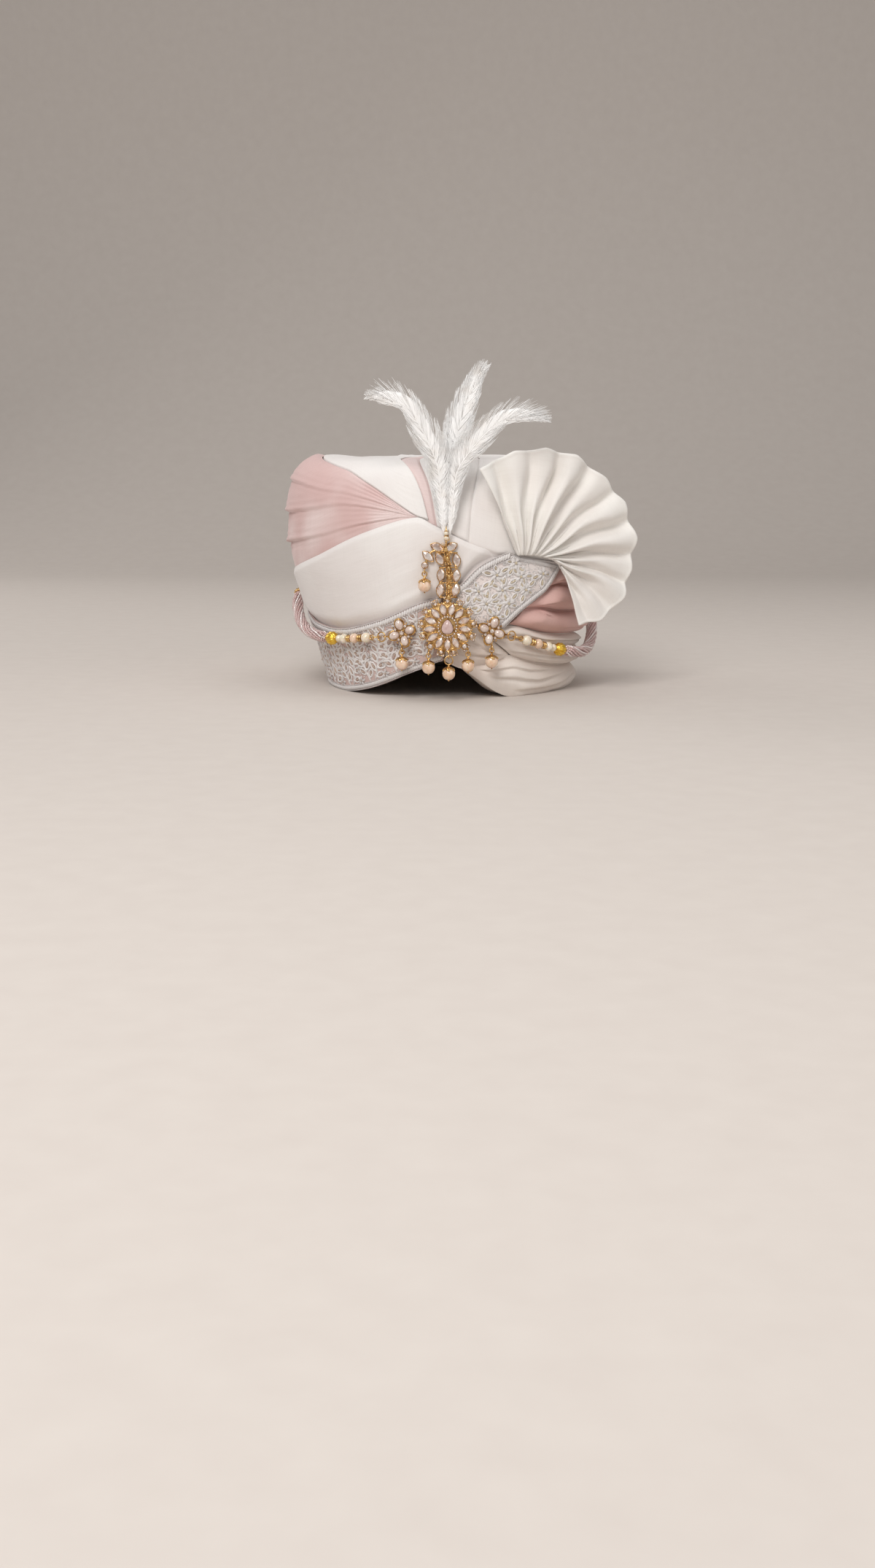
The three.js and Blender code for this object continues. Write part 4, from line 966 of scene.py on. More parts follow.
def finish_roll(name, turn, rise, u, v, lift, creases, seed, material):
    width = float(np.median(runs(on_crown(turn, rise, lift), 1)[0][:, -1]))
    for path in creases:
        away, fade = crease(u, v, path, width)
        lift = lift + fade * (lap(away, 1.6, 5) + groove(away + 1.1, 1.2, 1.5))
    lift = np.maximum(lift + 0.35 * uneven(turn * 1.6, rise * 2, 30, seed), 0.6)
    outer = on_crown(turn, rise, lift)
    inner = on_crown(turn, rise, np.full_like(lift, 0.25))
    piece = shell(f"{name}_cloth", off_floor(outer), off_floor(inner))
    own(piece, cloth_slot(material), [material], name)


def side_fan():
    """The pleated fan, from its gather under the strip to its loose wavy edge."""
    u = np.linspace(0, 1, 251)[:, None]
    v = np.concatenate([np.linspace(0, 0.9, 50), np.linspace(0.915, 1, 8)])[None, :]
    at = u * FAN_RIDGES["at"][-1]
    angle = np.radians(read(FAN_RIDGES, "at", "angle", at))
    share = at % 1
    fold = 0.26
    turned = smooth(share / fold)
    risen = 1 - (1 - np.clip((share - fold) / (1 - fold), 0, 1)) ** 1.8
    sharp = np.where(share < fold, 1 - 2 * turned, 2 * risen - 1)
    phase = 2 * np.pi * at
    soft = np.cos(phase - 0.5 * np.sin(phase))
    ridge = mix(sharp, soft, smooth((v - 0.25) / 0.6))
    bold = 1 + 0.35 * np.sin(2.3 * at + 1)
    dip = np.sqrt(np.sin(np.pi * share) ** 2 + 0.03) - 0.17
    reach = read(FAN_RIDGES, "at", "reach", at) * (1 - 0.027 * dip) * v
    calm = mix(1, 0.5, smooth((at - 7.4) / 1.2))
    depth = 5.0 * bold * calm * ridge * np.sin(np.pi * (0.07 + 0.79 * v))
    near = smooth((0.7 - v) / 0.5) * smooth(v / 0.06) * smooth((9.2 - at) / 1.4)
    depth += near * (1.3 * np.cos(2 * phase + 1.1 + 2 * v) + 0.9 * np.cos(3 * phase + 2.3))
    depth += 0.8 * uneven(u * 150, v * 80, 34, 51) * smooth(v / 0.3)
    sway = 4.2 * uneven(u * 130, v * 55, 42, 53) * smooth(v / 0.18) * mix(1, 0.35, v)
    sway = np.radians(sway) * smooth((1 - u) / 0.06) * smooth(u / 0.06)
    base = np.stack(np.broadcast_arrays(mix(-23, 15, u), -5 * u * u, 5 * (1 - u) ** 2), -1)
    spread = (reach * np.sin(angle + sway), reach * np.cos(angle + sway), depth + 5 * v)
    middle = base * (1 - v)[..., None] + np.stack(np.broadcast_arrays(*spread), -1)
    normal = unit(np.cross(np.gradient(middle, axis=1), np.gradient(middle, axis=0)))
    normal = np.where(normal[..., 2:] < 0, -normal, normal)
    hem = 1 + 0.55 * smooth((v - 0.955) / 0.02)
    half = 0.62 * hem * (0.2 + 0.8 * edge_share(middle, 1.0)) + 0 * u
    outer = stand(middle + normal * half[..., None], FAN_BASE, FAN_YAW)
    inner = stand(middle - normal * half[..., None], FAN_BASE, FAN_YAW)
    piece = shell("fan_cloth", outer, inner)
    own(piece, "ivory_cloth", [FAN_IVORY], "side_fan")
    declare_sheet(middle)


set_stage()
wound_body()
for (piece, middle), material, node in (
    (white_wrap(), IVORY, "white_wrap"),
    (rose_pleats(), ROSE, "rose_pleats"),
    (white_top_wrap(), IVORY, "white_top_wrap"),
    (rising_wrap("rose_stripe_cloth", *STRIPE_WRAP), ROSE, "rose_stripe"),
    (rising_wrap("right_inner_cloth", *INNER_WRAP), IVORY, "right_wrap_inner"),
    (rising_wrap("right_outer_cloth", *OUTER_WRAP), IVORY, "right_wrap_outer"),
):
    own(piece, cloth_slot(material), [material], node)
    declare_sheet(middle)
bottom_roll()
for name, row in ROLLS.items():
    roll(name, *row)
side_fan()


# Modelled shapes, each made once in millimetres or to a radius of 1


def modelled(build, *sizes):
    """Models one shape at the origin and keeps its points and faces for copying."""
    bpy.ops.object.select_all(action="DESELECT")
    build(*sizes)
    bpy.ops.object.mode_set(mode="OBJECT")
    piece = bpy.context.object
    mesh = piece.data
    points = np.array([vertex.co[:] for vertex in mesh.vertices])
    faces = [list(face.vertices) for face in mesh.polygons]
    bpy.data.objects.remove(piece)
    bpy.data.meshes.remove(mesh)
    return points, faces


def edit(kind):
    """Opens the shape in hand to pick its points or faces, with none picked yet."""
    bpy.ops.object.mode_set(mode="EDIT")
    bpy.ops.mesh.select_mode(type=kind)
    bpy.ops.mesh.select_all(action="DESELECT")
    return bmesh.from_edit_mesh(bpy.context.object.data)


def pick_faces(test):
    for face in edit("FACE").faces:
        if test(face.calc_center_median(), face.normal):
            face.select_set(True)
    bmesh.update_edit_mesh(bpy.context.object.data)


def pick_points(test):
    for vertex in edit("VERT").verts:
        if test(vertex.co):
            vertex.select_set(True)
    bmesh.update_edit_mesh(bpy.context.object.data)


def pick_top():
    top = max(face.calc_center_median().z for face in edit("FACE").faces)
    pick_faces(lambda middle, normal: normal.z > 0.9 and middle.z > top - 1e-4)


def grow(height):
    bpy.ops.mesh.extrude_region_move(TRANSFORM_OT_translate={"value": (0, 0, height)})


def widen(x, y, z=1.0):
    bpy.ops.transform.resize(value=(x, y, z), center_override=(0, 0, 0))


def step_up(*steps):
    """Grows the top of a shape by steps, each a height and the share of its width that it keeps."""
    for height, share in steps:
        pick_top()
        grow(height)
        widen(share, share)


def keep_above(height, fill):
    edit("VERT")
    bpy.ops.mesh.select_all(action="SELECT")
    bpy.ops.mesh.bisect(plane_co=(0, 0, height), plane_no=(0, 0, 1), clear_inner=True, use_fill=fill)


def apply(kind, **settings):
    bpy.ops.object.mode_set(mode="OBJECT")
    change = bpy.context.object.modifiers.new("finish", kind)
    for setting, value in settings.items():
        setattr(change, setting, value)
    bpy.ops.object.modifier_apply(modifier="finish")


def spoke(point, count):
    """The number of the spoke, of count round the axis, that a point is nearest to."""
    return round(math.atan2(point.y, point.x) / (2 * math.pi) * count)


def cut_stone():
    bpy.ops.mesh.primitive_cylinder_add(vertices=12, radius=1, depth=0.4, location=(0, 0, 0.2))
    step_up((0.34, 0.82), (0.26, 0.66))


def domed_stone():
    bpy.ops.mesh.primitive_uv_sphere_add(segments=18, ring_count=12, radius=1)
    keep_above(0, True)


def collar():
    bpy.ops.mesh.primitive_cylinder_add(vertices=24, radius=1.13, depth=0.8, location=(0, 0, 0.4))
    pick_top()
    bpy.ops.mesh.inset(thickness=0.12)
    grow(-0.45)
    apply("BEVEL", width=0.05, segments=1, limit_method="ANGLE")


def round_pearl():
    bpy.ops.mesh.primitive_uv_sphere_add(segments=22, ring_count=14, radius=1)
    pick_faces(lambda middle, normal: abs(middle.z) > 0.965)
    bpy.ops.transform.shrink_fatten(value=-0.07)


def petal_cap():
    """A scalloped cap that sits on the upper part of a pearl of radius 1."""
    bpy.ops.mesh.primitive_uv_sphere_add(segments=24, ring_count=18, radius=1.03)
    keep_above(0.52, False)
    pick_points(lambda point: point.z < 0.68 and spoke(point, 12) % 2 == 0)
    bpy.ops.transform.translate(value=(0, 0, 0.15))
    widen(0.92, 0.92)
    pick_points(lambda point: point.z < 0.6)
    widen(1.09, 1.09)
    apply("SOLIDIFY", thickness=0.07, offset=1)


def wire_ring(radius, wire):
    bpy.ops.mesh.primitive_torus_add(
        major_segments=32, minor_segments=8, major_radius=radius, minor_radius=wire
    )
    pick_points(lambda point: math.hypot(point.x, point.y) < radius)
    widen(1.02, 1.02, 0.85)


def fluted_bead():
    """A melon bead with twelve round ribs along its axis."""
    bpy.ops.mesh.primitive_uv_sphere_add(segments=48, ring_count=14, radius=1)
    for place, reach in ((0, 0.84), (1, 0.95), (3, 0.95)):
        pick_points(lambda point: abs(point.z) < 0.95 and spoke(point, 48) % 4 == place)
        widen(reach, reach)


def rondelle():
    bpy.ops.mesh.primitive_torus_add(
        major_segments=28, minor_segments=8, major_radius=0.62, minor_radius=0.4
    )
    pick_points(lambda point: math.hypot(point.x, point.y) > 0.75 and spoke(point, 28) % 2 == 0)
    widen(0.86, 0.86)


def seed_bead():
    bpy.ops.mesh.primitive_uv_sphere_add(segments=6, ring_count=5, radius=1)
    pick_faces(lambda middle, normal: abs(middle.z) > 0.8)
    widen(1, 1, 0.82)


def granule():
    bpy.ops.mesh.primitive_ico_sphere_add(subdivisions=2, radius=1)
    pick_points(lambda point: point.z < -0.3)
    widen(0.9, 0.9, 0.7)


def stitch():
    """A flat bead of thread, long in x, pointed at both ends and grooved down the middle."""
    bpy.ops.mesh.primitive_uv_sphere_add(
        segments=6, ring_count=5, radius=1, rotation=(0, math.pi / 2, 0)
    )
    bpy.ops.object.transform_apply(rotation=True)
    pick_points(lambda point: point.z < -0.05)
    widen(1, 1, 0.15)
    pick_points(lambda point: abs(point.x) > 0.6)
    widen(1.05, 0.78, 0.85)


def open_leaf():
    """An outlined leaf, long in x: a corded rim that comes to a point at both ends."""
    bpy.ops.mesh.primitive_torus_add(
        major_segments=14, minor_segments=5, major_radius=0.77, minor_radius=0.3
    )
    pick_points(lambda point: abs(point.x) > 0.85)
    widen(1.12, 0.3)
    pick_points(lambda point: 0.5 < abs(point.x) < 0.85)
    widen(1, 0.84)
    pick_points(lambda point: point.z < -0.05)
    widen(1, 1, 0.2)


def grain():
    bpy.ops.mesh.primitive_ico_sphere_add(subdivisions=1, radius=1)
    pick_points(lambda point: point.z < -0.5)
    widen(1, 1, 0.6)


def end_cone():
    bpy.ops.mesh.primitive_cylinder_add(vertices=20, radius=3.7, depth=1.2, location=(0, 0, 0.6))
    step_up((0.5, 1.1), (0.5, 0.92), (2.4, 0.72), (2.2, 0.66), (0.5, 1.24), (0.6, 0.8), (1.2, 0.86))
    pick_faces(
        lambda middle, normal: abs(normal.z) < 0.5 and 2.2 < middle.z < 6.6 and spoke(middle, 20) % 2 == 0
    )
    bpy.ops.mesh.inset(thickness=0.16, depth=-0.16)
    apply("BEVEL", width=0.12, segments=2, limit_method="ANGLE")


def back_plate():
    """The brooch's back plate, scalloped between its 13 petals."""
    bpy.ops.mesh.primitive_cylinder_add(vertices=104, radius=18.4, depth=1.2, location=(0, 0, 0.7))
    for number in range(8):
        reach = 1 + 0.045 * math.cos(2 * math.pi * number / 8)
        pick_points(lambda point: (spoke(point, 104) - 2) % 8 == number)
        widen(reach, reach)
    pick_top()
    bpy.ops.mesh.inset(thickness=1.0, depth=0.5)
    apply("BEVEL", width=0.2, segments=2, limit_method="ANGLE")


CUT_STONE = modelled(cut_stone)
DOMED_STONE = modelled(domed_stone)
COLLAR = modelled(collar)
ROUND_PEARL = modelled(round_pearl)
PETAL_CAP = modelled(petal_cap)
SMALL_WIRE = modelled(wire_ring, SMALL_RING, 0.5)
SWING_WIRE = modelled(wire_ring, SWING_RING, WIRE)
LINK_WIRE = modelled(wire_ring, LINK_RING, WIRE)
SCROLL_WIRE = modelled(wire_ring, 1, 0.14)
FLUTED_BEAD = modelled(fluted_bead)
RONDELLE = modelled(rondelle)
SEED_BEAD = modelled(seed_bead)
GRANULE = modelled(granule)
STITCH = modelled(stitch)
OPEN_LEAF = modelled(open_leaf)
GRAIN = modelled(grain)
END_CONE = modelled(end_cone)
BACK_PLATE = modelled(back_plate)


def tube(path, radius, sides):
    """A closed tube along a path, with a radius for each of its points."""
    along = unit(np.gradient(path, axis=0))
    side = np.cross(along[0], (0.31, 0.17, 0.94))
    sides_at = []
    for heading in along:
        side = unit(side - heading * side.dot(heading))
        sides_at.append(side)
    right = np.array(sides_at)
    up = np.cross(along, right)
    angle = 2 * np.pi * np.arange(sides) / sides
    wheel = right[:, None] * np.cos(angle)[None, :, None] + up[:, None] * np.sin(angle)[None, :, None]
    points = (path[:, None] + wheel * radius[:, None, None]).reshape(-1, 3)
    ids = ring_ids(len(path), sides)
    faces = grid_faces(ids)[:, ::-1].tolist()
    faces.append(ids[0, :-1].tolist()[::-1])
    faces.append(ids[-1, :-1].tolist())
    return points, faces


class Gather:
    """Copies of modelled shapes, gathered into one mesh with several finishes."""

    def __init__(self):
        self.points = []
        self.uv = []
        self.faces = []
        self.finishes = []
        self.marks = []
        self.soft = []
        self.count = 0

    def put(self, shape, placed, finish, soft=True):
        points, faces = shape
        copies = np.asarray(placed, float).reshape(-1, len(points), 3)
        if finish not in self.finishes:
            self.finishes.append(finish)
        for _ in copies:
            self.faces.extend([[corner + self.count for corner in face] for face in faces])
            self.count += len(points)
        self.points.append(copies.reshape(-1, 3))
        self.uv.append(np.tile(points[:, :2], (len(copies), 1)))
        self.marks.extend([self.finishes.index(finish)] * (len(faces) * len(copies)))
        self.soft.extend([soft] * (len(faces) * len(copies)))

    def lay(self, shape, turn, rise, angle, half, lift, finish):
        """Copies of a flat shape on the crown, each with its own angle and half sizes."""
        rows = np.broadcast_arrays(turn, rise, angle, lift)
        turn, rise, angle, lift = (np.atleast_1d(np.asarray(row, float)) for row in rows)
        local = shape[0][None] * np.broadcast_to(half, (len(turn), 3))[:, None, :]
        along, up = rotated(local[..., 0], local[..., 1], angle[:, None])
        over = turn[:, None] + along / degree(turn, rise)[:, None]
        placed = on_crown(over, rise[:, None] + up, lift[:, None] + local[..., 2])
        self.put(shape, off_floor(placed, 0.02), finish)

    def wire(self, path, radius, finish, sides=8):
        made = tube(path, np.broadcast_to(radius, len(path)), sides)
        self.put(made, made[0], finish)

    def piece(self, name, slot, *nodes, body="turban"):
        piece = mesh_object(name, np.concatenate(self.points), self.faces, self.soft)
        lay_uv(piece, np.concatenate(self.uv))
        piece.data.polygons.foreach_set("material_index", self.marks)
        return own(piece, slot, self.finishes, *nodes, body=body)


# Embroidery


def along_line(turn, rise, lift, pitch):
    """Evenly spaced places along a line on the crown, with the way that it runs there."""
    line = on_crown(turn, rise, lift)
    length = np.concatenate([[0], np.cumsum(np.linalg.norm(np.diff(line, axis=0), axis=-1))])
    at = np.linspace(0.5 * pitch, length[-1] - 0.5 * pitch, int(length[-1] / pitch))
    turns = np.interp(at, length, turn)
    rises = np.interp(at, length, rise)
    return turns, rises, heading_of(turns, rises)


def heading_of(turn, rise):
    return np.arctan2(np.gradient(rise), np.gradient(turn) * degree(turn, rise))


def rope_trim(gather, turn, rise, lift, size):
    """A corded edge: one row of fat slanted stitches between two thin ones."""
    fat = (1.05 * size, 0.52 * size, 0.56 * size)
    thin = (0.5 * size, 0.2 * size, 0.26 * size)
    over, up, heading = along_line(turn, rise, lift, 0.86 * size)
    gather.lay(STITCH, over, up, heading + 0.95, fat, lift, THREAD)
    over, up, heading = along_line(turn, rise, lift, 0.8 * size)
    for side in (-1.05, 1.05):
        beside = over - np.sin(heading) * side * size / degree(over, up)
        above = up + np.cos(heading) * side * size
        gather.lay(STITCH, beside, above, heading, thin, lift, SILVER)


def leaves(gather, turn, rise, heading, half, lift, vein):
    """Outlined leaves with a vein of another thread down the middle."""
    gather.lay(OPEN_LEAF, turn, rise, heading, half, lift, THREAD)
    gather.lay(STITCH, turn, rise, heading, np.asarray(half) * (0.6, 0.3, 0.42), lift, vein)


def spray(gather, turn, rise, heading, size, lift, finish, heart):
    """A small embroidered flower: five petals round a bead."""
    angle = heading + 2 * np.pi * np.arange(5) / 5
    over = turn + 0.95 * size * np.cos(angle) / degree(turn, rise)
    up = rise + 0.95 * size * np.sin(angle)
    gather.lay(STITCH, over, up, angle, (0.85 * size, 0.52 * size, 0.42 * size), lift, finish)
    gather.lay(GRAIN, turn, rise, 0, 0.36 * size, lift + 0.3 * size, heart)


def scattered(gather, turn, rise, lift, sizes):
    gather.lay(GRAIN, turn, rise, 0, random.uniform(*sizes, (len(turn), 1)), lift, THREAD)


def border_embroidery():
    work = Gather()
    small = Gather()
    base = BORDER_LIFT
    for number, start in enumerate(np.arange(-256.5, -7, BRANCH_PITCH)):
        q = np.linspace(0, 1, 11)
        way = 1 if number % 2 else -1
        turn = start + 0.5 * BRANCH_PITCH + way * (1.3 * np.sin(np.pi * q) + 3.4 * (q - 0.5))
        rise = mix(rim_rise(turn), border_top(turn), mix(0.15, 0.84, q))
        heading = heading_of(turn, rise)
        keep = turn < -0.6
        work.lay(STITCH, turn[keep], rise[keep], heading[keep], (2.8, 0.75, 1.0), base, THREAD)
        for side in (-1, 1):
            root = slice(1, 11, 2) if side > 0 else slice(0, 10, 2)
            lean = heading[root] + side * 0.8
            over = turn[root] + 4.9 * np.cos(lean) / degree(turn[root], rise[root])
            up = rise[root] + 4.9 * np.sin(lean)
            up = np.clip(up, rim_rise(over) + 7, border_top(over) - 7)
            fits = over < -1.8
            size = 1 + 0.12 * np.sin(np.arange(5) * 2.1 + number)
            half = np.stack([5.0 * size, 2.7 * size, 2.3 * size], -1)
            leaves(work, over[fits], up[fits], lean[fits], half[fits], base, TAN_THREAD)
        if start < -14:
            middle = start + BRANCH_PITCH
            for share in ((0.15, 0.33) if number % 2 else (0.48, 0.66, 0.83)):
                up = mix(rim_rise(middle), border_top(middle), share)
                spray(small, middle, up, number * 1.3 + share, 2.1, base + 0.2, SILVER, TAN_THREAD)
    count = 1500
    turn = random.uniform(-257, -1, count)
    rise = mix(rim_rise(turn), border_top(turn), random.uniform(0.13, 0.88, count))
    scattered(small, turn, rise, base, (0.4, 0.75))
    branches = work.piece("border_branches", "embroidery")
    sprays = small.piece("border_sprays", "embroidery")

    edge = Gather()
    turn = np.linspace(BACK_SEAM + 0.6, -0.4, 700)
    rope_trim(edge, turn, border_top(turn) - 2.9, base, 2.5)
    rope_trim(edge, turn, rim_rise(turn) + 2.8, base, 1.9)
    return branches, sprays, edge.piece("border_braid", "embroidery")


def on_strip(turn, rise):
    """Which places lie within the strip's corded edges."""
    shares = np.linspace(-0.2, 1.2, 71)
    u, v = (share.ravel() for share in np.meshgrid(shares, shares))
    turns, rises = slantwise(STRIP, np.clip(u, 0, 1), v)
    across = (turn[:, None] - turns) * degree(turn, rise)[:, None]
    nearest = np.argmin(np.hypot(across, rise[:, None] - rises), axis=1)
    u = u[nearest]
    v = v[nearest]
    return (u > 0.04) & (u < 0.93) & (v > 0.08) & (v < 0.92)


def strip_embroidery():
    work = Gather()
    base = STRIP_STITCH_LIFT

    def flat(u, v):
        turn, rise = slantwise(STRIP, u, v)
        ahead, above = slantwise(STRIP, u + 0.02, v)
        return turn, rise, np.arctan2(above - rise, (ahead - turn) * degree(turn, rise))

    for row, v in enumerate((0.26, 0.5, 0.74)):
        for number in range(4):
            u = 0.13 + 0.25 * number + (0.12 if row == 1 else 0)
            if u > 0.93:
                continue
            turn, rise, heading = (float(value) for value in flat(np.array(u), np.array(v)))
            spray(work, turn, rise, heading + number, 3.0, base, THREAD, GOLD_THREAD)
            lean = heading + 0.5 * row + np.array((-1.05, 0.2, 1.35, 2.6, 3.9))
            for reach, half in ((6.9, (4.5, 2.3, 2.8)), (5.0, (2.9, 1.8, 2.3))):
                over = np.cos(lean) / degree(turn, rise)
                up = np.sin(lean)
                tip = reach + half[0]
                fits = on_strip(turn + tip * over, rise + tip * up)
                places = (turn + reach * over[fits], rise + reach * up[fits], lean[fits])
                leaves(work, *places, half, base, GOLD_THREAD)
                lean = lean[~fits]
    count = 1000
    turn, rise, _ = flat(random.uniform(0.03, 0.97, count), random.uniform(0.12, 0.88, count))
    scattered(work, turn, rise, base, (0.35, 0.62))
    rings = 34
    places = flat(random.uniform(0.06, 0.94, rings), random.uniform(0.15, 0.85, rings))
    work.lay(OPEN_LEAF, *places, (1.3, 1.3, 1.5), base + 0.2, THREAD)
    piece = work.piece("strip_embroidery", "embroidery")

    edge = Gather()
    at = np.linspace(0.005, 0.995, 260)
    for v, size in ((0.94, 2.4), (0.055, 2.1)):
        rope_trim(edge, *slantwise(STRIP, at, v), base, size)
    across = np.linspace(0.1, 0.9, 120)
    rope_trim(edge, *slantwise(STRIP, np.full(120, 0.965), across), base, 1.7)
    return piece, edge.piece("strip_braid", "embroidery")


border, border_middle = border_band()
own(border, "embroidery", [GROUND], "embroidered_border")
declare_sheet(border_middle, border_embroidery())
strip, strip_middle = cross_strip()
own(strip, "embroidery", [PALE_GROUND], "embroidered_strip")
declare_sheet(strip_middle, strip_embroidery())


# Jewellery, in the brooch's frame: x to the right, y up, z to the front


def polar(reach, angle):
    return reach * math.cos(angle), reach * math.sin(angle)


def outlined(points, outline, half_length, half_width, height):
    """A round shape drawn out, long in y: oval, pear-shaped, or pointed at both ends."""
    reach = np.hypot(points[:, 0], points[:, 1])
    angle = np.arctan2(points[:, 1], points[:, 0])
    x = np.cos(angle)
    y = np.sin(angle)
    if outline == "pointed":
        x = x * np.abs(x) ** 0.75
    if outline == "pear":
        x = x * (1 - 0.32 * y)
    return np.stack([half_width * reach * x, half_length * reach * y, height * points[:, 2]], -1)


def spun(points, place, degrees):
    """Turns a flat shape about z and moves it to a place."""
    x, y = rotated(points[..., 0], points[..., 1], math.radians(degrees))
    return np.stack([x, y, points[..., 2]], -1) + place


def tipped(points, degrees):
    """Leans a shape that lies flat back from its upper end."""
    y, z = rotated(points[..., 1], points[..., 2], math.radians(degrees))
    return np.stack([points[..., 0], y, z], -1)


def upright(points):
    """Turns a shape so that its axis stands up in y."""
    return np.stack([points[..., 0], points[..., 2], -points[..., 1]], -1)


def edge_on(points):
    """Turns a flat ring so that it stands edge-on to the viewer."""
    return np.stack([points[..., 2], points[..., 1], -points[..., 0]], -1)


class Jewel(Gather):
    """A piece of jewellery, placed in its own standing frame."""

    def __init__(self, place, turn=0):
        super().__init__()
        self.place = place
        self.turn = turn

    def put(self, shape, placed, finish, soft=True):
        super().put(shape, stand(placed, self.place, self.turn), finish, soft)

    def copy(self, shape, size, place, finish=GOLD, way=None, soft=True):
        """A copy of a shape at a size and place, turned a given way first."""
        points = way(shape[0]) if way else shape[0]
        self.put(shape, points * size + place, finish, soft)

    def stone(self, place, spin, outline, half, shape, finish, tip=0):
        """A stone in its collar. Half holds its half length, its half width and its height."""
        length, width, height = half
        rim = outlined(COLLAR[0], outline, length, width, 0.85 * height)
        self.put(COLLAR, spun(tipped(rim, tip), place, spin), GOLD)
        gem = outlined(shape[0], outline, 0.98 * length, 0.98 * width, height) + (0, 0, 0.16 * height)
        self.put(shape, spun(tipped(gem, tip), place, spin), finish, shape is DOMED_STONE)

    def rhinestone(self, x, y, z, radius):
        self.copy(COLLAR, (0.92 * radius, 0.92 * radius, 0.8 * radius), (x, y, z))
        self.copy(CUT_STONE, 0.9 * radius, (x, y, z + 0.35 * radius), CRYSTAL, soft=False)
        for number in range(4):
            right, up = polar(radius, math.pi / 4 + number * math.pi / 2)
            claw = (x + right, y + up, z + 0.75 * radius)
            self.copy(GRAIN, (0.18 * radius, 0.18 * radius, 0.3 * radius), claw)

    def ball(self, x, y, z, radius):
        self.copy(GRANULE, radius, (x, y, z))

    def bar(self, start, end, radius):
        self.wire(np.linspace(start, end, 4), radius, GOLD)


def brooch_flower():
    jewel = Jewel(BROOCH)
    jewel.copy(BACK_PLATE, 1, (0, 0, 0))
    petals = 13
    for number in range(petals):
        spin = 360 * number / petals
        angle = math.radians(spin - 90)
        between = angle + math.pi / petals
        jewel.stone((*polar(12.9, angle), 1.5), spin, "pointed", (4.8, 2.6, 2.2), CUT_STONE, FOIL)
        edge = (*polar(18.9, between), 1.4)
        jewel.copy(SCROLL_WIRE, (2.5, 2.5, 2.4), edge)
        jewel.rhinestone(*edge, 2.15 if number in (1, 11) else 1.55)
        for shift in (-0.1, 0.1):
            jewel.rhinestone(*polar(21.2, between + shift), 1.2, 0.95)
        jewel.ball(*polar(17.9, angle), 2.3, 0.65)
        jewel.ball(*polar(8.9, between), 2.6, 0.5)
    inner_stones = 22
    for number in range(inner_stones):
        angle = 2 * math.pi * (number + 0.5) / inner_stones
        jewel.rhinestone(6.7 * math.cos(angle), 7.5 * math.sin(angle), 2.2, 0.86)
    jewel.stone((0, 0, 1.8), 0, "pear", (5.5, 4.3, 3.2), DOMED_STONE, BLUSH_STONE)
    for name in ("drop_centre", "drop_inner_left", "drop_inner_right"):
        x, y = DROP_LOOPS[name]
        share = 17 / math.hypot(x, y)
        jewel.bar((share * x, share * y, 1.6), (x, y + SMALL_RING, DROP_Z), 0.7)
        jewel.copy(SMALL_WIRE, 1, (x, y, DROP_Z), way=edge_on)
    jewel.piece("brooch_flower_set", "gold", "brooch_flower")


def brooch_crest():
    jewel = Jewel(BROOCH)
    for x, y, lean in CREST_STONES:
        jewel.stone((x, y, 1.0), lean, "pointed", (5.0, 2.9, 2.2), CUT_STONE, FOIL)
    rib = curve_through([(0.8, 20.5, 1.6), (1, 40, 1.6), (-1.6, 58.5, 1.6)])
    for side, radius in ((-1.5, 0.5), (1.5, 0.5), (0, 0.7)):
        jewel.wire(rib + (side, 0, 0), radius, GOLD)
    for share in np.linspace(0.05, 0.95, 6):
        x, y, z = rib[int(share * (len(rib) - 1))]
        jewel.stone((x, y, z + 0.2), 0, "pear", (2.3, 1.5, 1.7), DOMED_STONE, GOLD)
        jewel.ball(x, y + 3.2, z + 0.9, 0.85)
        for side in (-1.9, 1.9):
            jewel.copy(SCROLL_WIRE, (1.3, 1.3, 1.7), (x + side, y + 3.1, z + 0.4))
            jewel.ball(x + side, y + 3.1, z + 0.7, 0.6)
    for y in (21.6, 32, 43, 53.6):
        jewel.bar((-6.2, y, 1.3), (7.4, y, 1.3), 0.55)
        for x in (-4.6, 5.9):
            jewel.ball(x, y, 1.8, 0.75)
    jewel.wire(curve_through([(-5, 57, 1.4), (-13, 53, 1.4), (-16.6, 43, 1.4)]), 0.8, GOLD)
    jewel.stone((-16.4, 44.6, 1.0), 0, "oval", (2.3, 2.3, 2.2), CUT_STONE, FOIL)
    jewel.copy(SMALL_WIRE, 1, (*DROP_LOOPS["drop_crest"], DROP_Z), way=edge_on)
    jewel.piece("brooch_crest_set", "gold", "brooch_crest")


def crest_finial():
    jewel = Jewel(BROOCH)
    for y, radius in ((64.4, 1.9), (68, 1.75)):
        jewel.copy(ROUND_PEARL, radius, (-1, y, 6), CREAM_PEARL, upright)
        jewel.copy(PETAL_CAP, radius, (-1, y, 6), GOLD, upright)
    jewel.bar((-1, 57.2, 6), (-1, 72.8, 6), 0.45)
    jewel.ball(-1, 61.6, 6, 0.9)
    jewel.piece("finial_pearls", "pearl", "crest_finial")


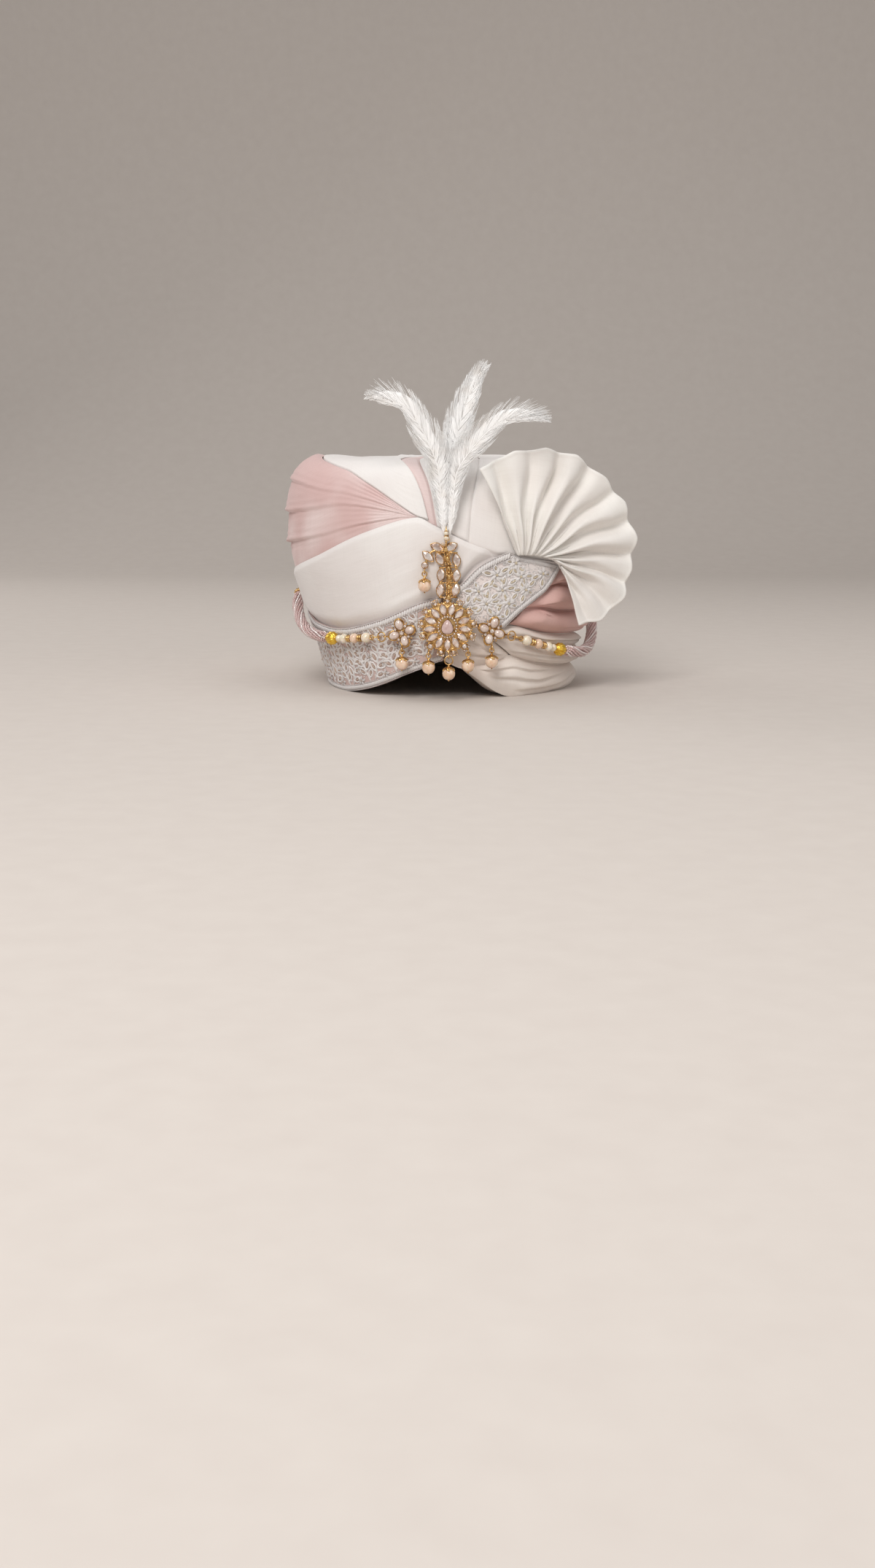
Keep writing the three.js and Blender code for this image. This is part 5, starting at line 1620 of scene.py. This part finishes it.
def pearl_drop(node, place, turn=0, radius=SMALL_RING, body="turban"):
    """A pearl under a petalled cap, on its ring, whose centre is at the place."""
    jewel = Jewel(place, turn)
    jewel.copy(SWING_WIRE if radius == SWING_RING else SMALL_WIRE, 1, (0, 0, 0))
    neck = 1.8
    low = -radius - neck - PEARL
    jewel.copy(ROUND_PEARL, (PEARL, 1.03 * PEARL, PEARL), (0, low, 0), PEACH_PEARL, upright)
    jewel.copy(PETAL_CAP, PEARL, (0, low, 0), GOLD, upright)
    for number in range(6):
        x, z = polar(0.95 * PEARL, math.pi * (number + 0.5) / 3)
        jewel.ball(x, low + 0.53 * PEARL, z, 0.62)
    jewel.ball(0, low + 1.14 * PEARL, 0, 0.95)
    jewel.ball(0, low - 1.06 * PEARL, 0, 0.6)
    jewel.piece(f"{node}_set", "pearl", node, body=body)


def hang(y, radius):
    """Height of a drop's ring under the loop that it hangs from."""
    return y - (SMALL_RING - 2 * WIRE - 0.35 + radius)


def side_flower(side, place, turn, outward):
    jewel = Jewel(place, turn)
    jewel.copy(DOMED_STONE, (5.2, 5.2, 1.3), (0, 0, 0.2))
    tip = 14
    for angle in (20, 110, 200, 290):
        spin = -angle * outward
        petal = polar(6.3, math.radians(spin + 90))
        jewel.stone((*petal, 1.5), spin, "oval", (4.1, 3.1, 3.0), DOMED_STONE, MOONSTONE, tip)
        second = outlined(COLLAR[0], "oval", 4.5, 3.5, 1.2)
        jewel.put(COLLAR, spun(tipped(second, tip), (*petal, 1.3), spin), GOLD)
        between = math.radians(spin + 135)
        jewel.rhinestone(*polar(5.6, between), 2.4, 1.25)
        jewel.ball(*polar(8.0, between), 2.4, 0.7)
    jewel.rhinestone(0, 0, 2.4, 1.9)
    jewel.bar((0, -5, 1.7), (0, SIDE_LOOP + 1.4, DROP_Z), 0.6)
    jewel.copy(SMALL_WIRE, 1, (0, SIDE_LOOP, DROP_Z), way=edge_on)
    x, y = CHAIN_LOOP
    jewel.bar((outward * 4, y, 2.2), (outward * (x - 1.4), y, DROP_Z), 0.6)
    jewel.copy(SMALL_WIRE, 1, (outward * x, y, DROP_Z), way=upright)
    jewel.piece(f"side_flower_{side}_set", "gold", f"side_flower_{side}")


# Strings, ropes and the tie


def curve_through(points):
    """A smooth curve through points, as closely spaced points of its own."""
    points = np.asarray(points, float)
    ends = [2 * points[0] - points[1], *points, 2 * points[-1] - points[-2]]
    share = np.linspace(0, 1, 16, endpoint=False)[:, None]
    dense = []
    for a, b, c, d in zip(ends, ends[1:], ends[2:], ends[3:]):
        pairs = ((a, b), (b, c), (c, d))
        before, span, after = (max(np.linalg.norm(q - p), 1e-6) ** 0.5 for p, q in pairs)
        leave = ((b - a) / before - (c - a) / (before + span) + (c - b) / span) * span
        reach = ((c - b) / span - (d - b) / (span + after) + (d - c) / after) * span
        dense.append(hermite(share, b, leave, c, reach))
    dense.append(points[-1:])
    return np.concatenate(dense)


def set_in(points, place, x, y, z):
    """A shape's points, in a frame of three directions at a place."""
    return place + points[..., :1] * x + points[..., 1:2] * y + points[..., 2:] * z


class Route:
    """A curve that is read by the distance along it."""

    def __init__(self, points):
        self.points = curve_through(points)
        steps = np.linalg.norm(np.diff(self.points, axis=0), axis=-1)
        self.along = np.concatenate([[0], np.cumsum(steps)])
        self.length = self.along[-1]

    def point(self, at):
        return np.stack([np.interp(at, self.along, column) for column in self.points.T], -1)

    def axes(self, at):
        """Forward, up and outward at a distance along the curve."""
        forward = unit(self.point(np.minimum(at + 0.4, self.length)) - self.point(np.maximum(at - 0.4, 0)))
        up = unit(np.array((0, 0, 1.0)) - forward * forward[..., 2:])
        return forward, up, np.cross(forward, up)

    def aside(self, at, angle):
        """The direction away from the curve, at an angle round it."""
        _, up, out = self.axes(at)
        return up * np.cos(angle)[..., None] + out * np.sin(angle)[..., None]

    def thread(self, points, at):
        """Places a shape, whose axis is z, on the curve."""
        forward, up, out = self.axes(at)
        return set_in(points, self.point(at), up, out, forward)

    def ring(self, points, at, flat):
        """Places a ring along the curve, flat on the cloth or upright to it."""
        forward, up, out = self.axes(at)
        side, axis = (up, out) if flat else (-out, up)
        return set_in(points, self.point(at), forward, side, axis)


def route_points(rows):
    at = np.linspace(0, rows["at"][-1], 25)
    return on_crown(*(read(rows, "at", column, at) for column in ("turn", "rise", "lift")))


def bead_string(side, route):
    string = Gather()
    at = STRING_START
    string.put(SMALL_WIRE, route.ring(SMALL_WIRE[0], STRING_RING, True), GOLD)
    string.wire(route.point(np.linspace(at, at + STRING_LENGTH, 40)), 0.4, GOLD, 6)
    beads = (
        (4.0, 3.9, ROUND_PEARL, CREAM_PEARL),
        (2.0, 2.6, RONDELLE, GOLD),
        (3.6, 3.7, ROUND_PEARL, PEACH_PEARL),
        (2.0, 2.6, RONDELLE, GOLD),
        (3.4, 3.6, ROUND_PEARL, CREAM_PEARL),
        (2.6, 2.8, ROUND_PEARL, CREAM_PEARL),
        (6.2, 5.2, FLUTED_BEAD, BRIGHT_GOLD),
    )
    for half, radius, shape, finish in beads:
        if shape is RONDELLE:
            for shift in (-0.5, 0.5):
                disc = shape[0] * (1.12 * radius, 1.12 * radius, 1.2 * half)
                string.put(shape, route.thread(disc, at + half + shift * half), finish)
        else:
            length = 0.84 * half if shape is FLUTED_BEAD else half
            string.put(shape, route.thread(shape[0] * (radius, radius, length), at + half), finish)
        at += 2 * half
    end_disc = RONDELLE[0] * (2.8, 2.8, 1.6)
    for place in (at - 12.0, at - 0.6):
        string.put(RONDELLE, route.thread(end_disc, place), BRIGHT_GOLD)
    string.piece(f"bead_string_{side}_set", "pearl", f"bead_string_{side}")


def bead_rope(side, route):
    """A loose bundle of seed-bead strands, twisted a little."""
    rope = Gather()
    length = route.length - ROPE_START
    count = int(length / 1.72)
    strands = [(3.55, k / 11) for k in range(11)] + [(1.7, k / 5) for k in range(5)]
    for number, (reach, share) in enumerate(strands):
        at = ROPE_START + 0.8 + (np.arange(count) + 0.5 * (number % 2)) * ((length - 1.4) / count)
        angle = 2 * np.pi * share + 0.062 * (at - ROPE_START) + 0.12 * np.sin(at / 6 + 3 * share)
        drawn = smooth((at - ROPE_START) / 5) * smooth((route.length - at) / 5)
        away = mix(0.55, 1.0, drawn) * reach * (1 + 0.05 * np.sin(at / 5 + 9 * share))
        forward, up, out = route.axes(at)
        centre = route.point(at) + route.aside(at, angle) * away[:, None]
        beads = SEED_BEAD[0][None] * random.uniform(0.86, 1.0, (count, 1, 1))
        placed = set_in(beads, *(row[:, None] for row in (centre, up, out, forward)))
        # Every fourth strand is of the whitened beads, which are painted glints.
        rope.put(SEED_BEAD, placed, CLEAR_GLINT_SEED if number % 4 == 0 else SEED)
    rope.piece(f"bead_rope_{side}_set", "seed_beads", f"bead_rope_{side}")


def rope_cap(side, route):
    cap = Gather()
    end = np.array(route.length)
    forward, up, out = route.axes(end)
    place = route.point(end) + forward * 0.4
    cap.put(END_CONE, set_in(END_CONE[0], place, up, out, forward), GOLD)
    for angle in 2 * np.pi * np.arange(12) / 12:
        rim = place + 3.95 * route.aside(end, angle) + 1.5 * forward
        cap.put(GRANULE, GRANULE[0] * 0.5 + rim, GOLD)
    cap.piece(f"rope_cap_{side}_set", "gold", f"rope_cap_{side}")


def tie_cord():
    """Three twisted strands round the back, from cap to cap."""
    cord = Gather()
    route = Route(route_points(BACK_ROUTE))
    at = np.linspace(0, route.length, 460)
    for number in range(3):
        angle = 2 * np.pi * (number / 3 + at / 7.5)
        cord.wire(route.point(at) + 0.72 * route.aside(at, angle), 0.78, CORD, 6)
    cord.piece("tie_cord_strands", "tie_cord", "tie_cord")


# Feathers


def prisms(paths, across, widths, thick):
    """Closed three-sided barbs along many paths at once."""
    aside = across * widths[..., None]
    points = np.stack([paths + aside, paths - aside, paths + (0, 0, thick)], -2)
    count, steps = paths.shape[:2]
    ids = ring_ids(count * steps, 3).reshape(count, steps, 4)
    corners = (ids[:, :-1, :-1], ids[:, 1:, :-1], ids[:, 1:, 1:], ids[:, :-1, 1:])
    faces = np.stack(corners, -1).reshape(-1, 4).tolist()
    faces.extend(ids[:, 0, :3].tolist())
    faces.extend(ids[:, -1, 2::-1].tolist())
    return points.reshape(-1, 3), faces


class Quill:
    """The rib of a feather, read from 0 at its root to 1 at its tip."""

    def __init__(self, shape):
        self.shape = shape
        self.last = shape["at"][-1]

    def point(self, at):
        return np.stack([read(self.shape, "at", axis, at * self.last) for axis in "xyz"], -1)

    def half(self, at):
        return np.maximum(read(self.shape, "at", "half", at * self.last), 1.6)

    def axes(self, at, side):
        along = unit(self.point(at + 0.01) - self.point(at - 0.01))
        return along, np.stack([-along[..., 1], along[..., 0], 0 * at], -1) * side


def vane(quill, side, seed):
    """The close inner part of a feather's side, where its barbs hold together."""
    at = np.linspace(0.01, 0.97, 220)[:, None]
    q = np.linspace(0, 1, 5)[None, :]
    ragged = 1 + 0.03 * np.sin(at * 83 + seed)
    reach = 0.66 * quill.half(at) * ragged * smooth((1 - at) / 0.3)
    along, across = quill.axes(at, side)
    aside = reach * q
    forward = aside * 2.4
    grid = quill.point(at) + along * forward[..., None] + across * aside[..., None]
    grid[..., 2] += 0.3 + 0.16 * np.sin(at * 420 + 7 * np.sin(at * 23)) * smooth(q / 0.3) - 0.06 * aside
    return doubled(grid[:, ::side] + (0, 0, 0.12), grid[:, ::side] - (0, 0, 0.12))


def barbs(quill, side, seed, count, spread, leans, fullness):
    """Loose barbs along one side of a feather, drawn in so that they end at its tip."""
    waves = np.random.default_rng(seed + side)
    root = np.sort(waves.uniform(*spread, count))
    along, across = quill.axes(root, side)
    clump = np.sin(root * 95 + seed)
    clump = 0.03 * np.sign(clump) * np.abs(clump) ** 0.5
    lean = mix(*leans, root) + clump + waves.normal(0, 0.015, count)
    length = np.minimum(quill.half(root) * fullness / np.sin(lean), 32) * waves.uniform(0.9, 1.08, count)
    rest = np.linalg.norm(quill.point(np.ones(count)) - quill.point(root), axis=-1)
    ahead = np.minimum(length * np.cos(lean), rest * waves.uniform(0.45, 1, count) + 1)
    end = np.minimum(root + (1 - root) * ahead / rest, 1)
    taper = quill.half(end) * fullness * waves.uniform(0.84, 1.05, count)
    reach = np.minimum(length * np.sin(lean), taper)
    t = np.linspace(0, 1, 6)[None, :]
    forward = ahead[:, None] * t
    wave = 0.2 * np.sin(5 * t + waves.uniform(0, 6, (count, 1))) * t
    aside = reach[:, None] * (1 - (1 - t) ** 1.7) + wave
    paths = quill.point(root)[:, None] + along[:, None] * forward[..., None]
    paths += across[:, None] * aside[..., None]
    paths[..., 2] += waves.normal(0, 0.25, (count, 1)) + waves.normal(0, 0.6, (count, 1)) * t**2
    heading = unit(np.gradient(paths, axis=1))
    flat = np.stack([-heading[..., 1], heading[..., 0], 0 * heading[..., 0]], -1)
    widths = mix(0.27, 0.06, t**1.3) * waves.uniform(0.8, 1.2, (count, 1))
    return prisms(paths, flat, widths, 0.14)


def plume():
    feathers = Jewel(BROOCH)
    for number, shape in enumerate(FEATHERS.values()):
        quill = Quill(shape)
        rib = quill.point(np.linspace(0, 0.97, 40)) + (0, 0, 0.25)
        feathers.wire(rib, np.linspace(0.8, 0.16, 40), FEATHER, 6)
        for side in (-1, 1):
            for made in (
                vane(quill, side, number),
                barbs(quill, side, 70 + 3 * number, 290, (0.04, 0.985), (0.38, 0.25), 1.08),
                barbs(quill, side, 90 + 3 * number, 120, (0.03, 0.45), (0.5, 0.4), 1.3),
            ):
                feathers.put(made, made[0], FEATHER)
    feathers.copy(END_CONE, (0.5, 0.8, 0.5), (-0.4, 62.8, 2), way=upright)
    feathers.piece("plume_feathers", "feather", "plume")


brooch_flower()
brooch_crest()
crest_finial()
plume()
for name, (x, y) in DROP_LOOPS.items():
    swings = name == "drop_centre"
    radius = SWING_RING if swings else SMALL_RING
    place = np.array(BROOCH) + (x, -DROP_Z, hang(y, radius))
    pearl_drop(name, place, 0, radius, "centre_drop" if swings else "turban")
for side, turn, rise, lift, outward in (("left", -15.5, 52, 7, -1), ("right", 18, 53.5, 8.6, 1)):
    flower = on_crown(turn, rise, lift)
    side_flower(side, flower, turn, outward)
    drop = stand((0, hang(SIDE_LOOP, SMALL_RING), DROP_Z), flower, turn)
    pearl_drop(f"drop_outer_{side}", drop, turn)
    chain_start = stand((outward * CHAIN_LOOP[0], CHAIN_LOOP[1], DROP_Z), flower, turn)
    route = Route(np.concatenate([[chain_start], route_points(ROUTES[side])]))
    for link, at, flat in (("inner", INNER_LINK, True), ("outer", OUTER_LINK, False)):
        ring = Gather()
        ring.put(LINK_WIRE, route.ring(LINK_WIRE[0], at, flat), GOLD)
        ring.piece(f"link_{link}_{side}_wire", "gold", f"link_{link}_{side}")
    bead_string(side, route)
    bead_rope(side, route)
    rope_cap(side, route)
tie_cord()
